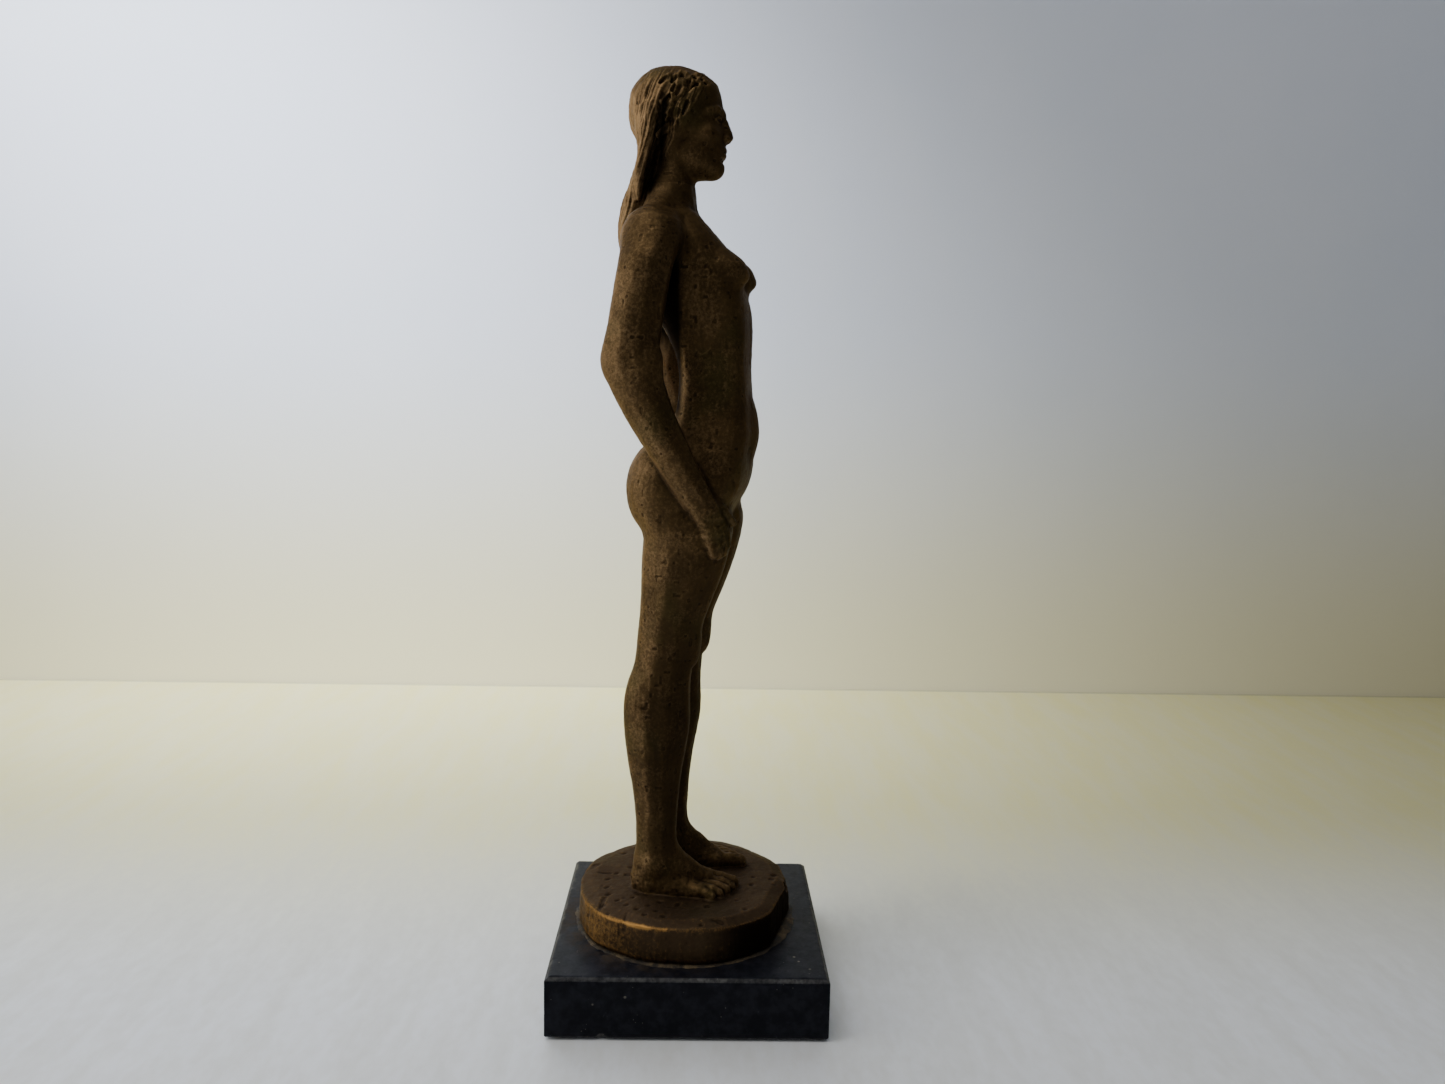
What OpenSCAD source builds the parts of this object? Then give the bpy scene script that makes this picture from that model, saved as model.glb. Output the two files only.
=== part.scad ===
// Bronze statuette of a standing figure on a round cast plinth, set on a square
// black stone base. Millimetres, +Z up. The origin is the centre of the underside
// of the felt, the face the whole thing rests on. The base edges run along X and Y
// and the figure looks towards -Y.

/* [Stone base] */
// Side of the square stone slab
base_w = 88; // [84:1:120]
// Thickness of the stone slab
base_t = 19.5; // [17:0.5:30]
// Width of the ground chamfer on every edge of the slab
base_chamfer = 1; // [0.4:0.1:2]
// Thickness of the felt under the slab
felt_t = 0.8; // [0.5:0.1:2]
// How far the felt stands in from the edge of the slab
felt_inset = 3; // [2:0.5:8]

/* [Plinth] */
// Radius of the plinth at its foot
plinth_r = 37; // [36:0.2:39]
// Height of the plinth casting
plinth_h = 12.4; // [11:0.2:18]
// Wall thickness of the hollow plinth
plinth_wall = 5; // [4:0.5:6]
// Thickness of the setting compound between plinth and stone
bed_t = 0.6; // [0.4:0.1:1]

/* [Figure] */
// Height of the figure from soles to crown
figure_h = 268; // [240:1:290]
// Turn of the figure to its own right on the base, degrees
figure_yaw = 9; // [0:1:15]
// Turn of the left foot outwards, degrees
left_toe_out = 13; // [0:1:15]
// Turn of the right foot outwards, degrees
right_toe_out = -2; // [-3:1:12]
// Bronze wall left around the core of the torso
core_wall = 5; // [4:0.5:7]

/* [Fastenings] */
// Diameter of the threaded stud that holds the bronze to the stone
stud_d = 6; // [5:1:8]
// Depth of the counterbore for washer and nut under the slab
recess_depth = 9; // [8.5:0.5:12]
// Diameter of the dowels that register the castings on each other
dowel_d = 4; // [3:0.5:5]
// Length of the dowels between neighbouring castings of the figure
dowel_len = 12; // [8:1:14]
// Length of the pins that carry the feet
foot_pin_len = 17; // [14:0.5:20]

/* [Smoothness] */
// Points around each cross-section of the figure
ring_points = 24; // [16:4:32]
// Cross-sections between two neighbouring stations
ring_steps = 2; // [1:1:3]

/* [Hidden] */
$fn = 48;

stone_z = felt_t;                       // underside of the slab
stone_top = stone_z + base_t;
plinth_z = stone_top + bed_t;           // underside of the plinth
sole_z = plinth_z + plinth_h;           // top of the plinth, where the soles stand
plinth_y = 1.4;                         // the plinth and its stud stand a little behind the slab's centre
fig_x = 1.2;                            // centre line of the figure on the base
k = figure_h / 268;                     // figure scale against its drawn stations
hip_cut = 119;                          // parting plane between legs and torso
neck_cut = 225;                         // parting plane between torso and head
shoulder_cut = 19.5;                    // parting planes of the arms, from the middle
bronze = [0.36, 0.26, 0.14];
stone = [0.07, 0.07, 0.08];
steel = [0.62, 0.62, 0.60];

// ---- lofting --------------------------------------------------------------

// Catmull-Rom value between b and c
function cr(a, b, c, d, t) = 0.5 * (2 * b + (c - a) * t + (2 * a - 5 * b + 4 * c - d) * t * t + (3 * b - 3 * c + d - a) * t * t * t);
// stations st with n - 1 more between each pair
function dense(st, n) = concat(
    [for (i = [0 : len(st) - 2]) for (j = [0 : n - 1]) cr(st[max(i - 1, 0)], st[i], st[i + 1], st[min(i + 2, len(st) - 1)], j / n)],
    [st[len(st) - 1]]);
// one signed superellipse coordinate
function se(c, e) = sign(c) * pow(abs(c), 2 / e);
// a level cross-section: s = [z, x centre, half width, y front, y back, squareness]
function level_ring(s, m) = [for (i = [0 : m - 1]) let (a = 360 * i / m, yc = (s[3] + s[4]) / 2, h = (s[4] - s[3]) / 2)
    [s[1] + s[2] * se(cos(a), s[5]), yc + h * se(sin(a), s[5]), s[0]]];
// signed difference of two angles, and the sum of the swellings at angle a and height z
function dang(a, b) = let (d = (a - b) % 360) d > 180 ? d - 360 : d < -180 ? d + 360 : d;
function swell(a, z, b, i = 0) = i >= len(b) ? 0 :
    b[i][4] * exp(-pow(dang(a, b[i][0]) / b[i][2], 2) - pow((z - b[i][1]) / b[i][3], 2)) + swell(a, z, b, i + 1);
// a level cross-section with swellings b laid on it
function swelled_ring(s, m, b) = let (r = level_ring(s, m))
    [for (i = [0 : m - 1]) let (a = 360 * i / m, h = swell(a, s[0], b)) r[i] + [h * cos(a), h * sin(a), 0]];
// an upright cross-section across a foot: s = [y, x centre, half width, top z]
function foot_ring(s, m) = [for (i = [0 : m - 1]) let (a = 360 * i / m, h = s[3] / 2)
    [s[1] + s[2] * se(cos(a), 2.6), s[0], max(0, h + h * se(sin(a), 2.6))]];
function unit(v) = v / norm(v);
// a cross-section square to the run of a limb: s = [x, y, z, half width, half depth]
function limb_ring(s, t, m) = let (u = unit(cross(t, [0, -1, 0.4])), v = cross(u, t))
    [for (i = [0 : m - 1]) let (a = 360 * i / m) [s[0], s[1], s[2]] + u * s[3] * cos(a) + v * s[4] * sin(a)];
function head3(s) = [s[0], s[1], s[2]];
function limb_rings(p, m) = [for (i = [0 : len(p) - 1])
    limb_ring(p[i], unit(head3(p[min(i + 1, len(p) - 1)]) - head3(p[max(i - 1, 0)])), m)];

// closed skin over a list of rings of equal length
module skin(r) {
    m = len(r[0]);
    n = len(r);
    polyhedron(
        points = [for (q = r) for (p = q) p],
        faces = concat(
            [[for (i = [0 : m - 1]) i]],
            [for (j = [0 : n - 2]) for (i = [0 : m - 1]) let (a = j * m + i, b = j * m + (i + 1) % m) each [[a, a + m, b + m], [a, b + m, b]]],
            [[for (i = [0 : m - 1]) n * m - 1 - i]]),
        convexity = 6);
}

module ball(c, r, fn = 24) { translate(c) scale(r) sphere(r = 1, $fn = fn); }

// ---- placing --------------------------------------------------------------

// the figure stands on the plinth, turned a little to its own right
module on_plinth() { translate([fig_x, 0, sole_z]) rotate([0, 0, -figure_yaw]) scale(k) children(); }

// where the dowels of the figure stand: [centre, rotation]
hip_at = [12.2, 1, hip_cut];
neck_at = [0, 10, neck_cut];
shoulder_at = [20, 12, 214];
ankle_at = [10.6, 9.5, 0];

module pin(d, l) { cylinder(d = d, h = l, center = true, $fn = 40); }
module dowel_set(d) {
    for (s = [-1, 1]) translate([s * hip_at[0], hip_at[1], hip_at[2]]) pin(d, dowel_len);
    for (s = [-1, 1]) translate([s * shoulder_at[0], shoulder_at[1], shoulder_at[2]]) rotate([0, 90, 0]) pin(d, dowel_len);
    translate(neck_at) pin(d, dowel_len);
}
module foot_pin_set(d) {
    for (s = [-1, 1]) translate([s * ankle_at[0], ankle_at[1], -plinth_wall - 0.5]) cylinder(d = d, h = foot_pin_len, $fn = 40);
}

// ---- stations of the figure, from the soles up ------------------------------

// right leg: [z, x centre, half width, y front, y back, squareness]
leg_st = [
    [4, -10.6, 6.2, -2, 17.2, 2.4],
    [8, -10.6, 6.6, -1, 17.4, 2.3],
    [12, -10.6, 6.6, 1.4, 17.2, 2.2],
    [18, -10.6, 6.2, 3.2, 17, 2.2],
    [26, -10.6, 6.2, 3.1, 17.2, 2.2],
    [34, -10.7, 6.9, 2.6, 18.2, 2.2],
    [42, -10.8, 8.1, 1.6, 19.6, 2.2],
    [50, -10.9, 9.1, 0.2, 20.8, 2.2],
    [57, -10.9, 9.7, -0.7, 21.2, 2.2],
    [65, -10.8, 9.6, -0.7, 20.6, 2.3],
    [73, -10.7, 9.2, -1.2, 19, 2.4],
    [80, -10.7, 9, -3.4, 18, 2.5],
    [86, -10.9, 9.4, -5, 17.4, 2.5],
    [92, -11.1, 9.9, -5.6, 16.8, 2.4],
    [98, -11.4, 10.6, -7.4, 16.4, 2.3],
    [108, -11.9, 11.4, -10.6, 15.9, 2.2],
    [119, -12.3, 12, -13.4, 15.6, 2.2]];

// torso: the same, on the middle line, from the parting plane of the legs to the neck's
torso_st = [
    [119, 0, 24, -10.6, 15, 2.4],
    [124, 0, 24, -11.4, 15.4, 2.4],
    [129, 0, 24, -13, 16, 2.5],
    [135, 0, 24, -15.8, 16.5, 2.5],
    [141, 0, 23, -17.8, 16, 2.6],
    [147, 0, 21.2, -18.8, 14, 2.7],
    [153, 0, 19, -19.7, 10.8, 2.8],
    [159, 0, 17, -19.6, 8.4, 2.9],
    [165, 0, 15.6, -17.8, 7.4, 3],
    [172, 0, 15, -16.6, 8.2, 3],
    [179, 0, 15.8, -16.4, 11, 3],
    [187, 0, 17.2, -16.3, 15.6, 2.9],
    [195, 0, 18.6, -15.4, 19.4, 2.7],
    [203, 0, 19.8, -12.8, 21.6, 2.6],
    [209, 0, 21, -10.2, 22.2, 2.5],
    [215, 0, 21.4, -6, 22.2, 2.4],
    [220, 0, 17.8, -2.4, 21.6, 2.3],
    [225, 0, 10, 0.8, 19.6, 2.1]];

// swellings of the torso: [angle, z, spread in degrees, spread in z, height]
torso_bumps = [
    [300, 203, 17, 6.5, 4.2], [240, 203, 17, 6.5, 4.2],   // breasts
    [62, 134, 25, 11, 5.2], [118, 134, 25, 11, 5.2],      // seat
    [300, 120, 24, 9, 3], [240, 120, 24, 9, 3],           // tops of the thighs
    [55, 206, 20, 9, 1], [125, 206, 20, 9, 1],            // shoulder blades
    [90, 218, 18, 7, 4]];                                 // end of the hair on the back

// right arm with its hand: [x, y, z, half width, half depth]
arm_st = [
    [-13.5, 11.5, 215.5, 6.6, 7.4],
    [-17.4, 11.5, 215.4, 6.9, 7.9],
    [-23.6, 12.2, 211, 7.2, 8.2],
    [-25.8, 13.4, 203, 7.4, 8.2],
    [-26.8, 14.6, 193, 7.1, 8.4],
    [-27.2, 16.2, 183, 6.8, 8.2],
    [-27.4, 17.4, 175.5, 6.8, 8],
    [-27.3, 16.2, 169, 6.8, 7.7],
    [-26.8, 11.6, 160, 6.5, 7.2],
    [-25.9, 6, 149.5, 5.9, 6.7],
    [-24.7, 1, 141, 5.1, 6],
    [-23.4, -2.6, 134.5, 4.2, 6],
    [-21.2, -6.8, 128.5, 3.8, 6],
    [-19.3, -9.4, 123, 3, 4.6],
    [-18.6, -10.6, 119.6, 2, 3]];

// foot, heel to toes, pointing to -Y from the ankle: [y, x centre, half width, top z]
foot_st = [
    [8, 0, 4.2, 6.5],
    [6, 0, 5.8, 9.5],
    [1, 0, 6.4, 12],
    [-5, 0.1, 6.4, 14],
    [-10, 0.3, 6.9, 11.2],
    [-16, 0.6, 7.7, 7.8],
    [-21, 0.7, 7.8, 5.4],
    [-25, 0.8, 6.8, 4.2],
    [-28, 1.2, 4.6, 3]];

module leg_form(toe_out) {
    skin([for (s = dense(leg_st, ring_steps)) level_ring(s, ring_points)]);
    translate([-ankle_at[0], ankle_at[1], 0]) rotate([0, 0, -toe_out])
        skin([for (s = dense(foot_st, ring_steps)) foot_ring(s, 16)]);
}

// hair swept back from the nape and down between the shoulders
module hair_tail() {
    skin([for (s = dense([[209, 0, 3, 20, 24, 2], [213, 0, 5.4, 18, 26, 2], [219, 0, 6.4, 17, 26.6, 2.1], [226, 0, 6.8, 14, 25.4, 2.2],
        [233, 0, 7.4, 11, 22.6, 2.2], [240, 0, 8.6, 7, 20.4, 2.2], [247, 0, 9.8, 5, 21, 2.2]], ring_steps)) level_ring(s, 18)]);
}

module trunk_form() {
    skin([for (s = dense(torso_st, ring_steps)) swelled_ring(s, ring_points + 8, torso_bumps)]);
}

// the trunk, dressed flat at the shoulders where the arms are set on
module trunk_shape() {
    difference() {
        trunk_form();
        for (s = [-1, 1]) translate([s * (shoulder_cut + 20) - 20, -60, 180]) cube([40, 120, 60]);
    }
}

module arm_form() { skin(limb_rings(dense(arm_st, ring_steps), 16)); }
module head_form() {
    ball([0, 8.8, 253.6], [11.8, 14.4, 14.4], 28);          // hair over the crown
    // an eight-head figure: chin one head below the crown, depth 7/8 of a head and the hair
    ball([0, 0.5, 247], [9, 7.4, 10.4], 24);                // face
    ball([0, -0.3, 241.5], [6.6, 6, 7], 20);                // jaw
    hair_tail();
    skin([for (s = dense([[221, 0, 9, 0.4, 20, 2], [229, 0, 7.8, 2.2, 17.8, 2], [238, 0, 7.6, 0.6, 16.4, 2], [244, 0, 7.4, -1, 15, 2]], 2)) level_ring(s, 20)]);
}

// slab of space between two heights, for parting the castings
module between(z0, z1) { translate([-60, -60, z0]) cube([120, 120, z1 - z0]); }

// the space the core left inside the torso
module core_void() {
    resize([0, 0, 0]) skin([for (s = dense([for (i = [2 : 13]) torso_st[i]], 1))
        level_ring([s[0], 0, s[2] - core_wall, s[3] + core_wall, s[4] - core_wall, 2.2], 20)]);
}

// ---- castings of the figure -------------------------------------------------

module leg_casting(toe_out) { resize([0, 0, 0]) leg_form(toe_out); }

module right_leg() {
    color(bronze) on_plinth() difference() {
        leg_casting(right_toe_out);
        dowel_set(dowel_d);
        foot_pin_set(dowel_d);
    }
}

module left_leg() {
    color(bronze) on_plinth() difference() {
        mirror([1, 0, 0]) leg_casting(left_toe_out);
        dowel_set(dowel_d);
        foot_pin_set(dowel_d);
    }
}

module torso() {
    color(bronze) on_plinth() difference() {
        resize([0, 0, 0]) trunk_shape();
        core_void();
        dowel_set(dowel_d);
    }
}

module head() {
    color(bronze) on_plinth() difference() {
        resize([0, 0, 0]) intersection() { head_form(); between(neck_cut, 300); }
        dowel_set(dowel_d);
    }
}

// an arm outside the shoulder plane, its hand seated on the hip
module arm_casting() {
    resize([0, 0, 0]) difference() {
        arm_form();
        translate([-shoulder_cut, -60, 180]) cube([60, 120, 60]);
        intersection() {
            trunk_form();
            translate([-60, -60, 90]) cube([120, 120, 80]);
        }
    }
}

module right_arm() { color(bronze) on_plinth() difference() { arm_casting(); dowel_set(dowel_d); } }
module left_arm() { color(bronze) on_plinth() difference() { mirror([1, 0, 0]) arm_casting(); dowel_set(dowel_d); } }

// ---- plinth, bed, stone, felt -------------------------------------------------

module plinth() {
    bore_top = plinth_h - 3;
    color(bronze) difference() {
        translate([0, plinth_y, plinth_z]) difference() {
            rotate_extrude($fn = 96) polygon([[0, 0], [plinth_r - 1, 0], [plinth_r, 1], [plinth_r - 1, plinth_h - 1.6], [plinth_r - 2.4, plinth_h], [0, plinth_h]]);
            // the rim is dressed flat in two places towards the toes
            rotate([0, 0, -108]) translate([plinth_r - 2.8, -40, -1]) cube([20, 80, plinth_h + 2]);
            rotate([0, 0, -58]) translate([plinth_r - 1, -40, -1]) cube([20, 80, plinth_h + 2]);
            // hollow underneath, around a boss for the stud
            translate([0, 0, -1]) rotate_extrude($fn = 96) polygon([[stud_d / 2 + 5, 0], [plinth_r - plinth_wall - 2, 0], [plinth_r - plinth_wall - 3, plinth_h - plinth_wall + 1], [stud_d / 2 + 5, plinth_h - plinth_wall + 1]]);
            translate([0, 0, -1]) cylinder(d = stud_d, h = bore_top + 1, $fn = 48);
        }
        on_plinth() foot_pin_set(dowel_d);
    }
}

module setting_bed() {
    color([0.45, 0.36, 0.24]) translate([0, plinth_y, stone_top]) rotate_extrude($fn = 96)
        polygon([[plinth_r - 6, 0], [plinth_r + 1.4, 0], [plinth_r + 0.6, bed_t * 0.6], [plinth_r - 1.2, bed_t], [plinth_r - 6, bed_t]]);
}

// long bar with the slab's side view: chamfers c on top and c / 2 below
module slab_profile(w, t, c) {
    translate([0, w / 2, 0]) rotate([90, 0, 0]) linear_extrude(w)
        polygon([[-w / 2 + c / 2, 0], [w / 2 - c / 2, 0], [w / 2, c / 2], [w / 2, t - c], [w / 2 - c, t], [-w / 2 + c, t], [-w / 2, t - c], [-w / 2, c / 2]]);
}

module stone_base() {
    w = base_w;
    c = base_chamfer;
    color(stone) translate([0, 0, stone_z]) difference() {
        intersection() {
            linear_extrude(base_t) polygon([[-w / 2 + c, -w / 2], [w / 2 - c, -w / 2], [w / 2, -w / 2 + c], [w / 2, w / 2 - c], [w / 2 - c, w / 2], [-w / 2 + c, w / 2], [-w / 2, w / 2 - c], [-w / 2, -w / 2 + c]]);
            slab_profile(w, base_t, c);
            rotate([0, 0, 90]) slab_profile(w, base_t, c);
        }
        translate([0, plinth_y, -1]) cylinder(d = stud_d + 1, h = base_t + 2, $fn = 48);
        translate([0, plinth_y, -1]) cylinder(d = 22, h = recess_depth + 1, $fn = 64);
    }
}

module felt_pad() {
    w = base_w - 2 * felt_inset;
    color([0.05, 0.16, 0.08]) linear_extrude(felt_t) polygon([[-w / 2 + 2, -w / 2], [w / 2 - 2, -w / 2], [w / 2, -w / 2 + 2], [w / 2, w / 2 - 2], [w / 2 - 2, w / 2], [-w / 2 + 2, w / 2], [-w / 2, w / 2 - 2], [-w / 2, -w / 2 + 2]]);
}

// ---- fastenings ---------------------------------------------------------------

washer_t = 1.6;
nut_h = 5;
washer_z = stone_z + recess_depth - washer_t;

module base_stud() {
    z0 = washer_z - nut_h - 1.4;
    z1 = plinth_z + plinth_h - 3.4;
    color(steel) translate([0, plinth_y, z0]) rotate_extrude($fn = 48)
        polygon([[0, 0], [stud_d / 2 - 0.6, 0], [stud_d / 2, 0.6], [stud_d / 2, z1 - z0 - 0.6], [stud_d / 2 - 0.6, z1 - z0], [0, z1 - z0]]);
}

module base_washer() {
    color(steel) translate([0, plinth_y, washer_z]) difference() {
        cylinder(d = 18, h = washer_t, $fn = 64);
        translate([0, 0, -1]) cylinder(d = stud_d + 0.4, h = washer_t + 2, $fn = 48);
    }
}

module base_nut() {
    af = stud_d == 5 ? 8 : stud_d == 6 ? 10 : stud_d == 7 ? 11 : 13;
    color(steel) translate([0, plinth_y, washer_z - nut_h]) difference() {
        intersection() {
            cylinder(d = af / cos(30), h = nut_h, $fn = 6);
            rotate_extrude($fn = 64) polygon([[0, 0], [af / 2, 0], [af / 2 + 0.8, 0.5], [af / 2 + 0.8, nut_h - 0.5], [af / 2, nut_h], [0, nut_h]]);
        }
        translate([0, 0, -1]) cylinder(d = stud_d, h = nut_h + 2, $fn = 48);
    }
}

module foot_pins() { color(bronze) on_plinth() foot_pin_set(dowel_d); }
module joint_dowels() { color(bronze) on_plinth() dowel_set(dowel_d); }

felt_pad();
stone_base();
setting_bed();
plinth();
right_leg();
left_leg();
torso();
head();
right_arm();
left_arm();
base_stud();
base_washer();
base_nut();
foot_pins();
joint_dowels();
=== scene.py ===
import math

import bpy
import numpy as np
import openvdb
from mathutils import Matrix, Vector


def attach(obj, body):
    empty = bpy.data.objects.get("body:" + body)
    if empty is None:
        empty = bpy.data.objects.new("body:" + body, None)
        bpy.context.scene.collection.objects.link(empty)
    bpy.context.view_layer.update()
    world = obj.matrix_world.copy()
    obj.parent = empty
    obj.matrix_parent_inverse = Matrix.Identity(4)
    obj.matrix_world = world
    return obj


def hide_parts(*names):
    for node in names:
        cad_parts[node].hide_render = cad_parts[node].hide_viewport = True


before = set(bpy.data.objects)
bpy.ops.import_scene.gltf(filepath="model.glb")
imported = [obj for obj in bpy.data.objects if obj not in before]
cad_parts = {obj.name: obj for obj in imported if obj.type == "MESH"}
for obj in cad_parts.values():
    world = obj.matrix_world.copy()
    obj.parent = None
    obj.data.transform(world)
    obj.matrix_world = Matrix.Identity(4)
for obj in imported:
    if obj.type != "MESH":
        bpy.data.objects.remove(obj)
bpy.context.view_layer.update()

MM = 0.001
YAW = math.radians(-9)
FIG_X, SOLE = 1.2, 33.3
HIP, NECK = 119.0, 225.0
CROWN = 267.9

# ---------------------------------------------------------------- noise on points


def _hash(ix, iy, iz, seed):
    h = (ix * 73856093) ^ (iy * 19349663) ^ (iz * 83492791) ^ (seed * 40503 + 977)
    h &= 0xFFFFFFFF
    h = ((h ^ (h >> 15)) * 2246822519) & 0xFFFFFFFF
    h = ((h ^ (h >> 13)) * 3266489917) & 0xFFFFFFFF
    h ^= h >> 16
    return (h & 0xFFFFFF) / float(0xFFFFFF) * 2 - 1


def vnoise(p, seed=0):
    """Smooth value noise from -1 to 1 at points p, one cell per unit."""
    i = np.floor(p).astype(np.int64)
    f = p - i
    u = f * f * f * (f * (f * 6 - 15) + 10)
    out = np.zeros(len(p))
    for dx in (0, 1):
        wx = u[:, 0] if dx else 1 - u[:, 0]
        for dy in (0, 1):
            wy = u[:, 1] if dy else 1 - u[:, 1]
            for dz in (0, 1):
                wz = u[:, 2] if dz else 1 - u[:, 2]
                out += wx * wy * wz * _hash(i[:, 0] + dx, i[:, 1] + dy, i[:, 2] + dz, seed)
    return out


def fbm(p, seed=0, octaves=3, gain=0.5):
    out, amp, total = np.zeros(len(p)), 1.0, 0.0
    for o in range(octaves):
        out += amp * vnoise(p * (2.03 ** o) + 17.3 * o, seed + 31 * o)
        total += amp
        amp *= gain
    return out / total


def step(a, b, x):
    t = np.clip((x - a) / (b - a), 0, 1)
    return t * t * (3 - 2 * t)


def bell(x, c, w):
    return np.exp(-(((x - c) / w) ** 2))


# ---------------------------------------------------------------- distance fields


def smin(a, b, k):
    if k <= 0:
        return np.minimum(a, b)
    h = np.clip(0.5 + 0.5 * (b - a) / k, 0, 1)
    return b + (a - b) * h - k * h * (1 - h)


def smax(a, b, k):
    return -smin(-a, -b, k)


class Grid:
    """A box of samples h apart, in figure millimetres, on a lattice that all grids of that h share."""

    def __init__(self, lo, hi, h):
        self.h = h
        self.i0 = np.floor(np.array(lo) / h).astype(int)
        n = np.ceil(np.array(hi) / h).astype(int) - self.i0 + 1
        self.n = n
        self.ax = [((self.i0[a] + np.arange(n[a])) * h).astype(np.float32) for a in range(3)]
        self.f = np.full(n, 20.0, np.float32)

    def window(self, lo, hi, mirror=False):
        if mirror:
            lo, hi = [-hi[0], lo[1], lo[2]], [-lo[0], hi[1], hi[2]]
        s = []
        for a in range(3):
            i = int(np.searchsorted(self.ax[a], lo[a]))
            j = int(np.searchsorted(self.ax[a], hi[a]))
            if j <= i:
                return None
            s.append(slice(i, j))
        x, y, z = self.ax[0][s[0]], self.ax[1][s[1]], self.ax[2][s[2]]
        if mirror:
            x = -x
        return tuple(s), x[:, None, None], y[None, :, None], z[None, None, :]

    def apply(self, feats):
        for kind, k, lo, hi, fn, mirror in feats:
            w = self.window(np.array(lo) - k - 2, np.array(hi) + k + 2, mirror)
            if w is None:
                continue
            s, x, y, z = w
            g = fn(x, y, z).astype(np.float32)
            if kind == "add":
                self.f[s] = smin(self.f[s], g, k)
            elif kind == "cut":
                self.f[s] = smax(self.f[s], -g, k)
        return self


def ell(c, r, turn=None):
    """An ellipsoid. turn is degrees about X."""
    c, r = np.array(c, float), np.array(r, float)
    ca, sa = (math.cos(math.radians(turn)), math.sin(math.radians(turn))) if turn else (1.0, 0.0)

    def fn(x, y, z):
        px, y0, z0 = x - c[0], y - c[1], z - c[2]
        py, pz = ca * y0 + sa * z0, -sa * y0 + ca * z0
        k0 = np.sqrt((px / r[0]) ** 2 + (py / r[1]) ** 2 + (pz / r[2]) ** 2)
        k1 = np.sqrt((px / r[0] ** 2) ** 2 + (py / r[1] ** 2) ** 2 + (pz / r[2] ** 2) ** 2)
        return k0 * (k0 - 1) / np.maximum(k1, 1e-4)

    m = r if not turn else np.array([r[0], max(r[1], r[2]), max(r[1], r[2])])
    return fn, c - m, c + m


def tube(pts, flat=None):
    """A run of tapered round-ended links through (x, y, z, r). flat = (axis, share) squeezes it along that axis."""
    pts = np.array(pts, float)

    def fn(x, y, z):
        out = None
        for a, b in zip(pts[:-1], pts[1:]):
            ab = b[:3] - a[:3]
            l2 = max(float(ab @ ab), 1e-6)
            px, py, pz = x - a[0], y - a[1], z - a[2]
            t = np.clip((px * ab[0] + py * ab[1] + pz * ab[2]) / l2, 0, 1)
            qx, qy, qz = px - t * ab[0], py - t * ab[1], pz - t * ab[2]
            d2 = qx * qx + qy * qy + qz * qz
            if flat:
                n = np.array(flat[0], float)
                n /= np.linalg.norm(n)
                q = qx * n[0] + qy * n[1] + qz * n[2]
                d2 = d2 + q * q * (1 / flat[1] ** 2 - 1)
            d = np.sqrt(d2) - (a[3] + (b[3] - a[3]) * t)
            out = d if out is None else smin(out, d, 0.35)
        return out

    r = pts[:, 3].max()
    return fn, pts[:, :3].min(0) - r, pts[:, :3].max(0) + r


def dense(st, n=8):
    st = np.array(st, float)
    out = []
    for i in range(len(st) - 1):
        a, b, c, d = st[max(i - 1, 0)], st[i], st[i + 1], st[min(i + 2, len(st) - 1)]
        for j in range(n):
            t = j / n
            out.append(0.5 * (2 * b + (c - a) * t + (2 * a - 5 * b + 4 * c - d) * t * t + (3 * b - 3 * c + d - a) * t ** 3))
    out.append(st[-1])
    out = np.array(out)
    return out if out[0, 0] < out[-1, 0] else out[::-1]


def loft(st, planes=(), mix=0.6):
    """Level cross-sections [z, x centre, half width, y front, y back, squareness], softly cut by planes (degrees, share of the radius)."""
    T = dense(st)

    def fn(x, y, z):
        zz = np.clip(z[0, 0], T[0, 0], T[-1, 0])
        xc, hw, yf, yb, e = [np.interp(zz, T[:, 0], T[:, i])[None, None, :] for i in range(1, 6)]
        yc, hd = (yf + yb) / 2, (yb - yf) / 2
        dx, dy = x - xc, y - yc
        u, v = (dx / hw).astype(np.float32), (dy / hd).astype(np.float32)
        g = np.power(np.power(np.abs(u), e) + np.power(np.abs(v), e) + 1e-9, 1 / e).astype(np.float32)
        if len(planes):
            s = np.zeros(g.shape, np.float32)
            for deg, d in planes:
                ca, sa = math.cos(math.radians(deg)), math.sin(math.radians(deg))
                t = np.clip((ca * u + sa * v) / d, 0, 3)
                t2 = t * t
                t4 = t2 * t2
                t8 = t4 * t4
                s += t8 * t8 * t8
            g = (1 - mix) * g + mix * np.power(s + 1e-12, 1 / 24.0)
        r = np.sqrt(dx * dx + dy * dy)
        d = r * (1 - 1 / np.maximum(g, 0.05))
        d = np.maximum(d, -np.minimum(hw, hd))
        over = np.maximum(T[0, 0] - z, z - T[-1, 0])
        return np.where(over > 0, np.sqrt(np.maximum(d, 0) ** 2 + over * over) + np.minimum(d, 0), d)

    lo = [(T[:, 1] - T[:, 2]).min(), T[:, 3].min(), T[0, 0]]
    hi = [(T[:, 1] + T[:, 2]).max(), T[:, 4].max(), T[-1, 0]]
    return fn, np.array(lo), np.array(hi)


def add(prim, k=1.5, both=False, side=0):
    fn, lo, hi = prim
    if both:
        return [("add", k, lo, hi, fn, False), ("add", k, lo, hi, fn, True)]
    return [("add", k, lo, hi, fn, bool(side))]


def cut(prim, k=0.8, both=False, side=0):
    fn, lo, hi = prim
    if both:
        return [("cut", k, lo, hi, fn, False), ("cut", k, lo, hi, fn, True)]
    return [("cut", k, lo, hi, fn, bool(side))]


# ---------------------------------------------------------------- the figure's forms
# drawn for the figure's right side, at -X; side=1 or both=True mirrors them to its left

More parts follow.
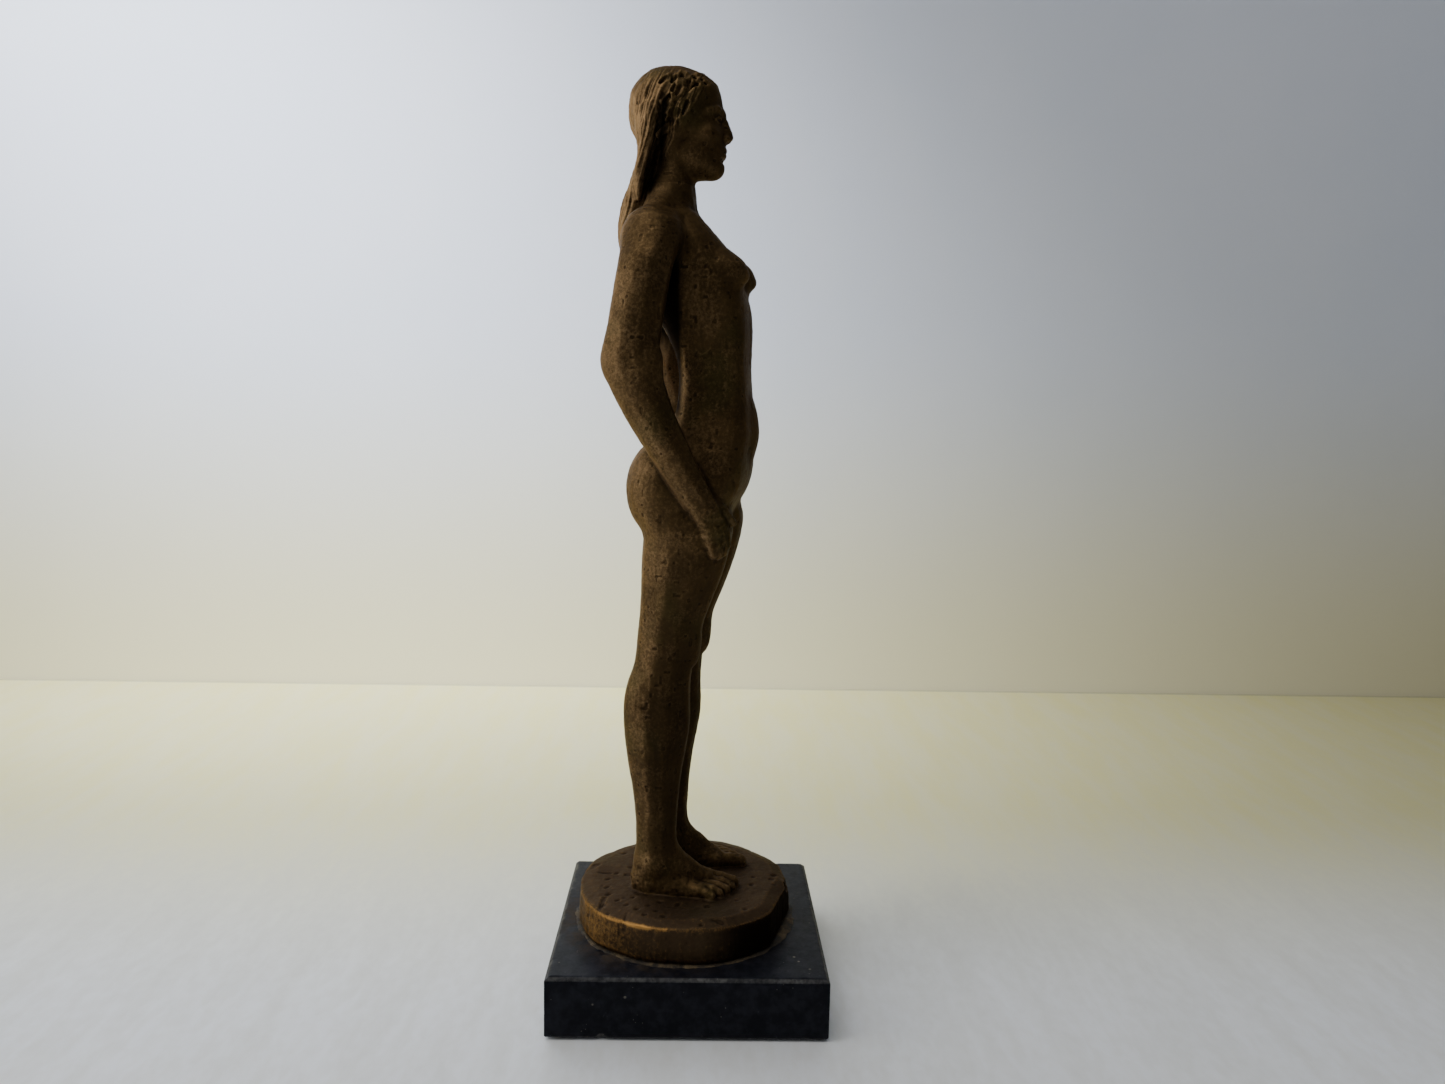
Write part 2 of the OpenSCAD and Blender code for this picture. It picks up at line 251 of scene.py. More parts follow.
LEG = [[-1, -10.6, 6, -2, 17, 2.4], [4, -10.6, 6.2, -2, 17.2, 2.4], [8, -10.6, 6.6, -1, 17.4, 2.3], [12, -10.6, 6.6, 1.4, 17.2, 2.2],
       [18, -10.6, 6.2, 3.2, 17, 2.2], [26, -10.6, 6.2, 3.1, 17.2, 2.2], [34, -10.7, 6.9, 2.6, 18.2, 2.2], [42, -10.8, 8.1, 1.6, 19.6, 2.2],
       [50, -10.9, 9.1, 0.2, 20.8, 2.2], [57, -10.9, 9.7, -0.7, 21.2, 2.2], [65, -10.8, 9.6, -0.5, 20.6, 2.3], [73, -10.7, 9.2, -0.8, 19, 2.4],
       [80, -10.7, 9, -1.7, 17.8, 2.5], [86, -10.9, 9.4, -3.5, 17.2, 2.5], [92, -11.1, 9.9, -4.7, 16.6, 2.4], [98, -11.4, 10.6, -6.9, 16.2, 2.3],
       [108, -11.9, 11.4, -10.6, 15.9, 2.2], [118, -12.1, 12, -13.2, 15.6, 2.2], [126, -11.9, 11.6, -13.8, 14.6, 2.2], [134, -11, 9, -11.4, 11, 2.2]]
LEG_PLANES = [(180, .965), (147, .915), (110, .965), (90, .995), (50, .96), (8, .975), (-38, .965), (-86, .995), (-133, .955)]

TORSO = [[114, 0, 20, -6, 12, 2.4], [119, 0, 23.4, -9.4, 14, 2.4], [124, 0, 24, -11, 15, 2.4], [129, 0, 24, -13.2, 15.8, 2.4], [135, 0, 23.8, -16.6, 16, 2.5],
         [141, 0, 22.8, -18.1, 15.2, 2.7], [147, 0, 21, -18.3, 12.4, 2.9], [153, 0, 18.9, -18.9, 9.2, 3.1], [159, 0, 17, -18.5, 7.2, 3.2],
         [165, 0, 15.7, -17.7, 6.4, 3.2], [172, 0, 15.1, -17.1, 6.4, 3.1], [179, 0, 15.8, -17.1, 8.0, 3.1], [187, 0, 17, -17.1, 12.0, 3],
         [195, 0, 18.2, -16.2, 17.2, 2.8], [203, 0, 18.8, -12.6, 20.6, 2.6], [209, 0, 18.8, -9.2, 21.2, 2.5], [215, 0, 18, -4.9, 21, 2.4],
         [220, 0, 14.4, -0.9, 19.6, 2.3], [224, 0, 10.2, 2.0, 18.4, 2.1], [228, 0, 7.4, 3.4, 17.2, 2]]
TORSO_PLANES = [(180, .955), (0, .955), (-137, 1.16), (-43, 1.16), (-95, .985), (-85, .985), (142, 1.12), (38, 1.12), (104, .975), (76, .975)]

ARM = [[217, -19.4, 5.4, 4.6, 18.2, 2.2], [213, -21.2, 7.0, 3.8, 20.2, 2.2], [207, -24.2, 7.4, 4.2, 21.2, 2.2], [200, -25.9, 7.2, 5.2, 22.0, 2.2],
       [193, -26.7, 7.0, 6.2, 23.0, 2.2], [187, -27.0, 6.8, 7.0, 23.9, 2.2], [181, -27.3, 6.7, 7.7, 25.0, 2.2], [176.5, -27.4, 6.8, 8.3, 25.9, 2.2],
       [172.5, -27.4, 6.8, 7.8, 25.4, 2.2], [167, -27.2, 6.8, 5.8, 23.4, 2.2], [160, -26.8, 6.5, 3.4, 19.8, 2.2], [150, -26, 5.9, -1.2, 13.6, 2.2],
       [142, -24.9, 5.2, -5.0, 8.4, 2.2], [136, -23.9, 4.5, -8.0, 4.6, 2.2], [131, -22.6, 3.8, -10.6, 1.6, 2.2], [127, -21.6, 3.0, -11.6, -1.6, 2.2]]
ARM_PLANES = [(180, .95), (147, .92), (110, .965), (90, .995), (48, .96), (6, .97), (-40, .965), (-88, .99), (-136, .95)]


def hand(side, out=0.0, back=0.0):
    """The hand laid on the front of the thigh: palm, four fingers, thumb."""
    o = np.array([-out, back, 0.0])
    lay = ((-0.74, -0.67, 0.0), 0.62)

    def pts(*rows):
        return [[*(np.array(r[:3]) + o), r[3]] for r in rows]

    f = []
    f += add(tube(pts((-23.6, -3.4, 134.2, 3.9), (-21.9, -7.0, 128.4, 4.7), (-20.4, -8.9, 124.6, 4.7)), lay), 1.6, side=side)
    f += add(tube(pts((-18.8, -10.6, 126.0, 1.75), (-17.0, -12.0, 121.8, 1.6), (-15.8, -12.5, 118.2, 1.4))), 1.1, side=side)
    f += add(tube(pts((-20.0, -9.9, 124.2, 1.8), (-18.2, -11.2, 119.6, 1.65), (-17.0, -11.5, 116.0, 1.45))), 1.1, side=side)
    f += add(tube(pts((-21.2, -8.8, 122.6, 1.75), (-19.7, -9.9, 118.2, 1.6), (-18.5, -10.2, 115.0, 1.4))), 1.1, side=side)
    f += add(tube(pts((-22.3, -7.2, 121.6, 1.6), (-21.1, -8.3, 117.8, 1.45), (-20.2, -8.7, 115.2, 1.25))), 1.1, side=side)
    f += add(tube(pts((-22.0, -7.6, 132.6, 1.9), (-19.4, -11.6, 129.0, 1.75), (-16.6, -14.3, 125.2, 1.35))), 0.9, side=side)
    return f


def arm_feats(side):
    f = add(loft(ARM, ARM_PLANES, 0.7), 1.0, side=side)
    f += add(ell((-18.6, 12.4, 212.6), (9.6, 9.2, 9.6)), 3.5, side=side)
    f += add(ell((-27.6, 21.6, 173.8), (3.2, 3.3, 4.4)), 2.4, side=side)
    f += add(ell((-29.4, 11.4, 170.5), (4.2, 4.6, 9), 16), 3.0, side=side)
    f += hand(side, out=0.9 * side, back=2.1 * side)
    return f


def foot(side, toe_out):
    """The foot, drawn towards -Y from the ankle and turned out."""
    a = math.radians(toe_out)

    def q(x, y, z, r):
        return [-10.6 + x * math.cos(a) + y * math.sin(a), 9.5 - x * math.sin(a) + y * math.cos(a), z, r]

    def t(*rows, flat=None):
        return tube([q(*r) for r in rows], flat)

    f = add(t((0, 2.6, 4.2, 5.3), (0, 1.2, 9, 5.6)), 3.5, side=side)
    f += add(t((0, -1, 10.2, 5.4), (0.9, -9, 7.1, 4.2), (1.5, -15.5, 3.4, 3.0)), 3.0, side=side)
    f += add(t((-1.6, 3, 3.2, 4.2), (-3.6, -7, 2.6, 3.3), (-4.9, -14.6, 2.2, 2.5)), 3.0, side=side)
    f += add(t((1.4, 3, 3.4, 4.4), (3.2, -8, 3.2, 3.4), (4.3, -16, 2.6, 3.2)), 3.0, side=side)
    f += add(t((4.4, -17.4, 2.6, 2.5), (4.4, -21.2, 2.6, 2.3), (4.0, -25.0, 1.8, 2.3)), 1.2, side=side)
    f += add(t((1.3, -17.6, 2.8, 1.75), (1.2, -21.6, 2.9, 1.6), (1.0, -24.9, 1.5, 1.65)), 0.8, side=side)
    f += add(t((-1.3, -17.0, 2.7, 1.7), (-1.6, -20.6, 2.7, 1.5), (-1.7, -23.4, 1.4, 1.6)), 0.8, side=side)
    f += add(t((-3.6, -16.0, 2.5, 1.65), (-4.0, -19.1, 2.4, 1.45), (-4.3, -21.6, 1.3, 1.5)), 0.8, side=side)
    f += add(t((-5.5, -14.4, 2.2, 1.6), (-6.1, -17.0, 2.1, 1.4), (-6.4, -19.2, 1.2, 1.45)), 0.8, side=side)
    return f


def leg_feats(side, toe_out):
    f = add(loft(LEG, LEG_PLANES, 0.72), 0.6, side=side)
    f += add(ell((-10.4, -1.4, 83.0), (4.4, 2.4, 5.6)), 2.4, side=side)
    f += add(ell((-8.0, 15.4, 60), (5, 5.6, 13)), 3.0, side=side)
    f += add(ell((-14.0, 14.6, 64), (4.4, 5.6, 12)), 3.0, side=side)
    f += add(ell((-15.9, 9.4, 10.6), (1.6, 2.6, 3.0)), 2.2, side=side)
    f += add(ell((-5.4, 8.4, 11.8), (1.6, 2.6, 3.0)), 2.2, side=side)
    f += cut(tube([(-16.6, 19.6, 84, 0.7), (-13, 20.4, 80, 0.7), (-9, 19.4, 79, 0.6)]), 1.2, side=side)
    f += cut(tube([(-18.4, 14.4, 88.2, 0.5), (-20.2, 10.4, 84.6, 0.4)]), 0.7, side=side)
    f += foot(side, toe_out)
    return f


def trunk_feats():
    f = add(loft(TORSO, TORSO_PLANES, 0.72), 1.2)
    f += add(ell((0, -8.6, 153.5), (9.5, 11.4, 15)), 3.0)
    f += add(ell((-11.4, 8.2, 135.0), (13.2, 12.8, 16.4)), 5.0, both=True)
    f += add(tube([(-9.0, 1.4, 217.5, 3.2), (-9.7, -6.2, 207.4, 4.6)]), 4.0, both=True)
    f += add(ell((-9.8, -9.3, 203.0), (6.6, 7.3, 6.3)), 3.2, both=True)
    f += add(ell((-10.3, -15.3, 202.2), (1.4, 1.5, 1.4)), 1.8, both=True)
    f += add(ell((-10.8, 15.6, 206), (8.4, 6.2, 10.6)), 3.5, both=True)
    f += add(tube([(0, 10, 230, 6.0), (-8, 11.6, 223.4, 4.8), (-16, 12.2, 218.4, 4.4)]), 4.5, both=True)
    f += add(tube([(-2.4, 1.2, 220.2, 0.9), (-9, 2.8, 220.4, 0.9), (-17.0, 7.2, 220.2, 1.0)]), 3.2, both=True)
    # neck
    f += add(loft([[214, 0, 8.8, 4.0, 17.4, 2], [220, 0, 8.3, 3.4, 17, 2], [226, 0, 7.6, 3.5, 16.4, 2], [233, 0, 7.3, 3.2, 15.6, 2], [241, 0, 7.4, 2.0, 15, 2]]), 3.0)
    f += add(tube([(-6.4, 8.6, 240, 1.9), (-4.4, 5.4, 229, 1.8), (-2.0, 2.8, 221, 1.3)]), 2.4, both=True)
    # hollows and grooves
    f += cut(tube([(0, 1.0, 221.8, 1.0), (0, 0.2, 220.4, 0.8)]), 1.6)
    f += cut(tube([(0, -18.6, 207, 1.2), (0, -19.2, 196, 1.0), (0, -17.5, 188, 0.7), (0, -17.4, 176, 0.5)]), 2.0)
    f += cut(tube([(0, 21.6, 206, 1.6), (0, 18.2, 192, 1.8), (0, 10.2, 180, 1.5), (0, 8.4, 168, 1.5), (0, 10.6, 155, 1.5)]), 2.4)
    f += cut(tube([(0, 19.5, 142, 1.2), (0, 21.8, 134, 1.4), (0, 19, 122, 1.4)]), 1.6)
    f += cut(ell((0, -20.4, 158.2), (1.0, 1.3, 1.4)), 0.9)
    f += cut(tube([(-18.6, -14.9, 138.5, 0.1), (-12, -17.3, 131.6, 0.35), (-4, -16.7, 125.0, 0.45)]), 2.4, both=True)
    return f


def head_feats():
    f = []
    # skull, face and jaw of an eight-head figure: the chin lies one head (33.5 mm) below the
    # crown, the eyes halfway, and brow to back is 7/8 of a head, plus the hair
    f += add(ell((0, 5.9, 253.6), (9.5, 12.3, 12.4)), 1.5)
    f += add(ell((0, 1.2, 246.4), (8.2, 8.4, 11.6)), 2.0)
    f += add(ell((0, 3.2, 241.4), (7.0, 7.8, 6.6)), 3.0)
    f += add(tube([(-6.2, 7.6, 242.4, 2.0), (-4.2, -0.1, 238.0, 2.1), (0, -3.6, 236.6, 2.4)]), 3.2, both=True)
    f += add(ell((0, -4, 236.8), (2.6, 2.2, 2.1)), 2.2)
    f += add(ell((0, 1.6, 238.2), (4.6, 5.6, 3.9)), 3.5)
    f += add(ell((-5.4, -2.7, 246.2), (2.6, 2.6, 2.2)), 2.6, both=True)
    f += add(tube([(-1.3, -6.1, 253.5, 0.75), (-4.4, -5.3, 253.9, 0.8), (-7.0, -2.6, 252.8, 0.7)]), 1.4, both=True)
    f += cut(ell((-3.5, -7, 250.7), (2.3, 1.7, 1.45)), 1.0, both=True)
    f += add(ell((-3.5, -3.95, 250.7), (1.85, 1.75, 1.65)), 0.35, both=True)
    f += add(tube([(-1.7, -5.5, 250.6, 0.3), (-2.6, -5.95, 251.45, 0.34), (-4.1, -5.8, 251.55, 0.36), (-5.4, -4.9, 250.7, 0.3)]), 0.35, both=True)
    f += add(tube([(-1.8, -5.5, 250.4, 0.26), (-3.1, -5.8, 249.75, 0.28), (-4.5, -5.5, 249.85, 0.28), (-5.4, -4.9, 250.5, 0.26)]), 0.35, both=True)
    f += add(tube([(0, -5.6, 253.6, 1.1), (0, -7, 250.4, 1.05), (0, -8.1, 247.2, 1.25), (0, -8.5, 246.2, 1.3)]), 1.2)
    f += add(tube([(0, -5.4, 251.0, 1.6), (0, -6.6, 246.4, 2.0)]), 1.0)
    f += add(ell((-1.45, -7.5, 245.6), (1.0, 1.5, 1.05)), 0.7, both=True)
    f += cut(ell((-0.75, -8.4, 244.5), (0.45, 0.6, 0.4)), 0.4, both=True)
    f += add(ell((0, -4.9, 241.4), (4.2, 2.6, 3.3)), 1.8)
    f += add(ell((-0.9, -6.75, 242.35), (1.9, 1.0, 0.75)), 0.7, both=True)
    f += add(ell((0, -6.6, 240.85), (2.0, 1.05, 0.8)), 0.7)
    f += cut(tube([(-2.8, -5.9, 241.65, 0.24), (-1.4, -7.3, 241.65, 0.25), (0, -7.75, 241.55, 0.25), (1.4, -7.3, 241.65, 0.25), (2.8, -5.9, 241.65, 0.24)]), 0.35)
    f += cut(tube([(-2.0, -6.2, 239.1, 0.5), (0, -6.9, 238.9, 0.6), (2.0, -6.2, 239.1, 0.5)]), 1.0)
    # hair: cap over the crown, front roll, side hair over the ears
    f += add(ell((0, 9.0, 253.8), (11.6, 14.0, 14.2)), 0.8)
    f += add(ell((0, 12.8, 255.0), (10.8, 11.2, 12.5)), 2.0)
    f += add(ell((0, 3.8, 258.6), (9.6, 9.1, 7.2)), 1.6)
    f += add(tube([(-8.0, 1.6, 256.4, 2.4), (-8.9, 4.6, 251.6, 2.6), (-8.3, 7.6, 246.4, 2.5), (-7.2, 9.6, 241.0, 1.8)]), 1.8, both=True)
    # the mass behind the ears, drawn down the neck into a tail
    f += add(loft([[206, 0, 3, 19.5, 24.0, 2], [210, 0, 5, 18.6, 26.0, 2], [215, 0, 6.2, 17.4, 27.0, 2], [221, 0, 6.8, 16.4, 26.9, 2], [227, 0, 7.4, 15.4, 25.3, 2.1],
                   [233, 0, 8.2, 14.2, 22.8, 2.2], [240, 0, 9.4, 13.4, 20.4, 2.3], [247, 0, 10.6, 12.6, 21.0, 2.3], [254, 0, 11.0, 11, 22.0, 2.2]]), 1.0)
    f += add(tube([(-9.4, 15.2, 254, 2.6), (-9.6, 15.0, 247, 2.5), (-9.0, 16.4, 240.5, 2.3), (-8.3, 18.0, 235, 2.1), (-7.9, 18.9, 230.5, 1.6), (-7.8, 19.0, 226.4, 0.8)]), 1.0, both=True)
    # the deep channel in front of it
    f += cut(tube([(-12.4, 10.8, 257.0, 1.0), (-11.8, 11.2, 250.5, 1.7), (-10.8, 11.8, 244.5, 2.1), (-9.8, 13.0, 239.0, 2.4), (-9.0, 14.6, 234.0, 2.4), (-8.8, 16.0, 229.5, 1.6)]), 0.7, both=True)
    # tufts and pits on the temple and over the brow
    rng = np.random.RandomState(5)

    def on_cap(y, z):
        return 11.6 * math.sqrt(max(0.02, 1 - ((y - 9) / 14.0) ** 2 - ((z - 253.8) / 14.2) ** 2))

    for i in range(54):
        y, z = rng.uniform(-1.8, 10.6), rng.uniform(247.0, 264.0)
        if z < 262 - 1.15 * (y + 4) - 1.5:
            continue
        x = -on_cap(y, z)
        s = rng.uniform(0.9, 1.7)
        f += add(tube([(x + s * 0.45, y, z, s), (x + s * 0.5 - 0.4, y + rng.uniform(1.0, 2.8), z - rng.uniform(1.0, 3.4), s * 0.7)]), 0.6, both=True)
    for i in range(40):
        y, z = rng.uniform(-1.6, 11.0), rng.uniform(246.0, 263.0)
        if z < 261 - 1.15 * (y + 4) - 1.5:
            continue
        x = -on_cap(y, z)
        f += cut(tube([(x - 0.5, y, z, 0.7), (x - 0.7, y + rng.uniform(1.0, 2.2), z - rng.uniform(1.6, 4.0), 0.5)]), 0.7, both=True)
    return f


TRUNK, HEAD_F = trunk_feats(), head_feats()
R_LEG, L_LEG = leg_feats(0, -2.0), leg_feats(1, 13.0)
R_ARM, L_ARM = arm_feats(0), arm_feats(1)

# the plinth in the figure's frame
PC = (-1.2 * math.cos(-YAW) - 1.4 * math.sin(-YAW), -1.2 * math.sin(-YAW) + 1.4 * math.cos(-YAW))
PITS = [(-19.5, 24.5, 0.9), (-14.2, 26.4, 1.0), (-23.5, 20.4, 0.7), (-28.2, 13.0, 0.9), (-8.0, 27.4, 0.8), (-26.0, 16.8, 0.6), (-3.0, 25.6, 0.7),
        (6.5, -28.5, 1.3), (-1.0, -29.5, 0.8), (14, 27, 0.8), (22, 19, 0.9), (26, 4, 0.7), (-20.5, 15.8, 0.6)]


def plinth_fn(x, y, z):
    dx, dy = x - PC[0], y - PC[1]
    r = np.sqrt(dx * dx + dy * dy)
    th = np.arctan2(dy, dx)
    # outline, a little uneven, with the two dressed flats near the toes
    R = 36.6 + 0.30 * np.sin(3 * th + 0.6) + 0.22 * np.sin(5 * th + 2.0) + 0.12 * np.sin(11 * th) + 0.06 * np.sin(29 * th + 1)
    for deg, d in ((-99, 34.2), (-49, 36.0), (-72, 35.4)):
        c = np.cos(th - math.radians(deg))
        R = np.minimum(R, np.where(c > 0.2, d / np.maximum(c, 0.2), 99))
    zb = -12.75
    rr = R - 0.7 * step(-11.0, zb, z) - 0.5 * step(-9, 0, z)
    side = r - rr
    inside = R - r
    top = z + (1.35 - 0.55 * np.cos(th - 1.1)) * (1 - np.clip(inside / 4.6, 0, 1)) ** 1.1 + 0.25 * np.sin(x * 0.16 + 1) * np.sin(y * 0.14) - 0.15 + 0.0 * z
    d = smax(top * 0.96, side, 0.35)
    return smax(d, zb - z + 0 * x, 0.3)


PLINTH = [("add", 0.0, np.array([-42, -42, -14]), np.array([42, 42, 3]), plinth_fn, False)]
PLINTH_CUTS = []
for px, py, pr in PITS:
    PLINTH_CUTS += cut(tube([(px, py, 0.5, pr * 0.9), (px + 0.7, py - 0.5, 0.2, pr * 0.7)]), 0.5)
# broken places in the rim near the toes
for px, py, pz, pr in ((3.5, -34.2, -2.2, 1.9), (6.5, -33.6, -1.2, 1.5), (0.5, -34.6, -1.0, 1.3), (9.5, -32.6, -4.6, 1.2), (-3.6, -33.6, -0.6, 0.9), (-26.5, 24.0, 0.2, 0.8)):
    PLINTH_CUTS += cut(ell((px, py, pz), (pr * 1.3, pr, pr)), 0.6)


def fields(lo, hi, h, want):
    """Distance fields on one grid: trunk with legs and head B, the two arms, the plinth, and everything joined."""
    B = Grid(lo, hi, h)
    B.apply([f for f in R_LEG])
    side = Grid(lo, hi, h).apply(L_LEG)
    B.f = smin(B.f, side.f, 0.5)
    body = Grid(lo, hi, h).apply(TRUNK)
    B.f = smin(B.f, body.f, 2.0)
    if hi[2] > 200:
        B.apply(HEAD_F)
    A = {}
    for name, fs in (("r", R_ARM), ("l", L_ARM)):
        A[name] = Grid(lo, hi, h).apply(fs).f
    P = None
    if lo[2] < 6:
        g = Grid(lo, hi, h).apply(PLINTH)
        P = g.apply(PLINTH_CUTS).f
    F = B.f.copy()
    kk = 1.1 + 1.8 * step(185, 205, B.ax[2])[None, None, :].astype(np.float32)
    for a in A.values():
        h_ = np.clip(0.5 + 0.5 * (F - a) / kk, 0, 1)
        F = F + (a - F) * h_ - kk * h_ * (1 - h_)
    body_all = F
    if P is not None:
        F = smin(F, P, 1.6)
    return B, body_all, A, P, F


def owned(F, s):
    """The part of F where s is negative; past the seam it dives under its neighbour."""
    t = np.maximum(s, 0)
    return np.maximum(F + 0.22 * t * t, s - 1.5)


# ---------------------------------------------------------------- meshing


def sample(grid, f, p):
    q = p / grid.h - grid.i0
    i = np.clip(np.floor(q).astype(int), 0, np.array(f.shape) - 2)
    t = np.clip(q - i, 0, 1)
    out = 0
    for dx in (0, 1):
        for dy in (0, 1):
            for dz in (0, 1):
                w = (t[:, 0] if dx else 1 - t[:, 0]) * (t[:, 1] if dy else 1 - t[:, 1]) * (t[:, 2] if dz else 1 - t[:, 2])
                out = out + w * f[i[:, 0] + dx, i[:, 1] + dy, i[:, 2] + dz]
    return out


def mesh_of(grid, f):
    """Points and quads of the zero surface, its largest shell only, pulled onto the field."""
    vdb = openvdb.FloatGrid(20.0)
    vdb.copyFromArray(np.ascontiguousarray(f, dtype=np.float32))
    pts, tris, quads = vdb.convertToPolygons(isovalue=0.0, adaptivity=0.0)
    pts = (np.array(pts, float) + grid.i0) * grid.h
    quads = np.array(quads, int).reshape(-1, 4)
    # drop crumbs
    parent = np.arange(len(pts))
    e = np.concatenate([quads[:, [0, 1]], quads[:, [1, 2]], quads[:, [2, 3]]])
    label = parent.copy()
    for _ in range(400):
        a, b = label[e[:, 0]], label[e[:, 1]]
        m = np.minimum(a, b)
        new = label.copy()
        np.minimum.at(new, e[:, 0], m)
        np.minimum.at(new, e[:, 1], m)
        new = new[new]
        if (new == label).all():
            break
        label = new
    ids, counts = np.unique(label, return_counts=True)
    keep = label == ids[counts.argmax()]
    idx = np.cumsum(keep) - 1
    quads = idx[quads[keep[quads[:, 0]]]]
    pts = pts[keep]
    eps = grid.h * 0.5
    for _ in range(2):
        v = sample(grid, f, pts)
        g = np.stack([sample(grid, f, pts + d) - sample(grid, f, pts - d) for d in np.eye(3) * eps], 1) / (2 * eps)
        g2 = np.maximum((g * g).sum(1), 0.05)
        pts = pts - np.clip(v / g2, -grid.h * 0.4, grid.h * 0.4)[:, None] * g * 0.9
    return pts, quads


def normals_of(pts, quads):
    a, b, c, d = (pts[quads[:, i]] for i in range(4))
    fn = np.cross(c - a, d - b)
    n = np.zeros_like(pts)
    for i in range(4):
        for k in range(3):
            n[:, k] += np.bincount(quads[:, i], fn[:, k], len(pts))
    return n / np.maximum(np.linalg.norm(n, axis=1), 1e-12)[:, None]


def ring_mean(v, quads, n):
    e = np.concatenate([quads[:, [0, 1]], quads[:, [1, 2]], quads[:, [2, 3]], quads[:, [3, 0]]])
    w = np.bincount(e[:, 0], minlength=n) + np.bincount(e[:, 1], minlength=n)
    if v.ndim == 1:
        return (np.bincount(e[:, 0], v[e[:, 1]], n) + np.bincount(e[:, 1], v[e[:, 0]], n)) / np.maximum(w, 1)
    return np.stack([(np.bincount(e[:, 0], v[e[:, 1], k], n) + np.bincount(e[:, 1], v[e[:, 0], k], n)) / np.maximum(w, 1) for k in range(v.shape[1])], 1)


def hollow(pts, quads, nrm, times):
    """How far below its surroundings each point lies, in mm, at the reach that times steps of averaging give."""
    q = pts
    for _ in range(times):
        q = 0.5 * q + 0.5 * ring_mean(q, quads, len(pts))
    return ((q - pts) * nrm).sum(1)


def to_row(p):
    c, s = math.cos(YAW), math.sin(YAW)
    return np.stack([p[:, 0] * c - p[:, 1] * s + FIG_X, p[:, 0] * s + p[:, 1] * c, p[:, 2] + SOLE], 1)


def make_object(name, pts, quads, attrs=None, smooth=True):
    me = bpy.data.meshes.new(name)
    me.vertices.add(len(pts))
    me.vertices.foreach_set("co", (pts * MM).astype(np.float32).ravel())
    me.loops.add(quads.size)
    me.loops.foreach_set("vertex_index", quads.astype(np.int32).ravel())
    me.polygons.add(len(quads))
    me.polygons.foreach_set("loop_start", np.arange(0, quads.size, quads.shape[1], dtype=np.int32))
    me.update(calc_edges=True)
    me.validate()
    if smooth:
        me.polygons.foreach_set("use_smooth", np.ones(len(me.polygons), bool))
    for k, v in (attrs or {}).items():
        at = me.attributes.new(k, "FLOAT", "POINT")
        at.data.foreach_set("value", np.asarray(v, np.float32))
    ob = bpy.data.objects.new(name, me)
    bpy.context.scene.collection.objects.link(ob)
    return ob


# ---------------------------------------------------------------- surface character


def texture_figure(p, n, part):
    """Height in mm of the cast and hand-worked surface at figure points p."""
    z = p[:, 2]
    d = 0.15 * fbm(p / 9.0, 3, 2) + 0.07 * fbm(p / 3.4, 11, 2) + 0.035 * vnoise(p / 1.25, 21)
    # long file marks down the limbs
    d += 0.035 * vnoise(p / np.array([1.1, 1.1, 8.0]), 33)
    # scattered small pits
    pit = vnoise(p / 1.5, 55)
    d -= 0.13 * step(0.62, 0.82, pit)
    hair = np.zeros(len(p))
    if part in ("head", "torso"):
        hair = hair_mask(p)
        back = step(9.5, 14.0, p[:, 1]) * step(266, 260, z)
        d = d * (1 - 0.45 * hair) + hair * (0.15 + 0.13 * back) * strands(p, n) + hair * 0.12 * strands(p, n, 0.55) + hair * 0.16 * fbm(p / 2.6, 65, 2)
    # rough places: hand on the hip, heel and foot
    rough = bell(z, 121, 9) * step(-12, -17, -np.abs(p[:, 0]) * 1.0 + 0) * step(2, -6, p[:, 1])
    rough = np.maximum(rough, step(12, 5, z) * (0.6 + 0.8 * step(6, 12, p[:, 1])))
    d += rough * (0.20 * fbm(p / 1.9, 71, 2) - 0.22 * step(0.35, 0.7, vnoise(p / 2.3, 77)))
    return d, hair


def ridges(q, seed):
    return 1 - 2 * np.abs(vnoise(q, seed)) ** 0.8


def hairline(z):
    """The front edge of the hair: back and down from the brow over the ear to the lock."""
    return np.where(z > 250, -4.4 + 0.75 * (261.5 - z), 4.2 + 0.5 * (250 - z))


def hair_mask(p):
    x, y, z = p[:, 0], p[:, 1], p[:, 2]
    m = np.maximum(step(-0.3, 1.3, y - hairline(z)), step(260.5, 262.5, z)) * step(224, 229, z)
    tail = step(15.0, 17.0, y) * step(9.0, 7.2, np.abs(x)) * step(206, 211, z) * step(240, 232, z)
    return np.clip(np.maximum(m, tail), 0, 1)


def strands(p, n, fine=1.0):
    """Height of hair strands that fall from the parting: across X at the back, across Y at the sides."""
    x, y, z = p[:, 0], p[:, 1], p[:, 2]
    bend = 1.1 * vnoise(p / 7.0, 62)
    side = step(0.35, 0.75, np.abs(n[:, 0]))
    run = z + 0.5 * y
    a = np.stack([(x + bend) / (1.25 * fine), y / 12, run / 11], 1)
    b = np.stack([x / 12, (y + 0.28 * (z - 250) + bend) / (1.25 * fine), run / 11], 1)
    return ridges(a, 61) * (1 - side) + ridges(b, 63) * side


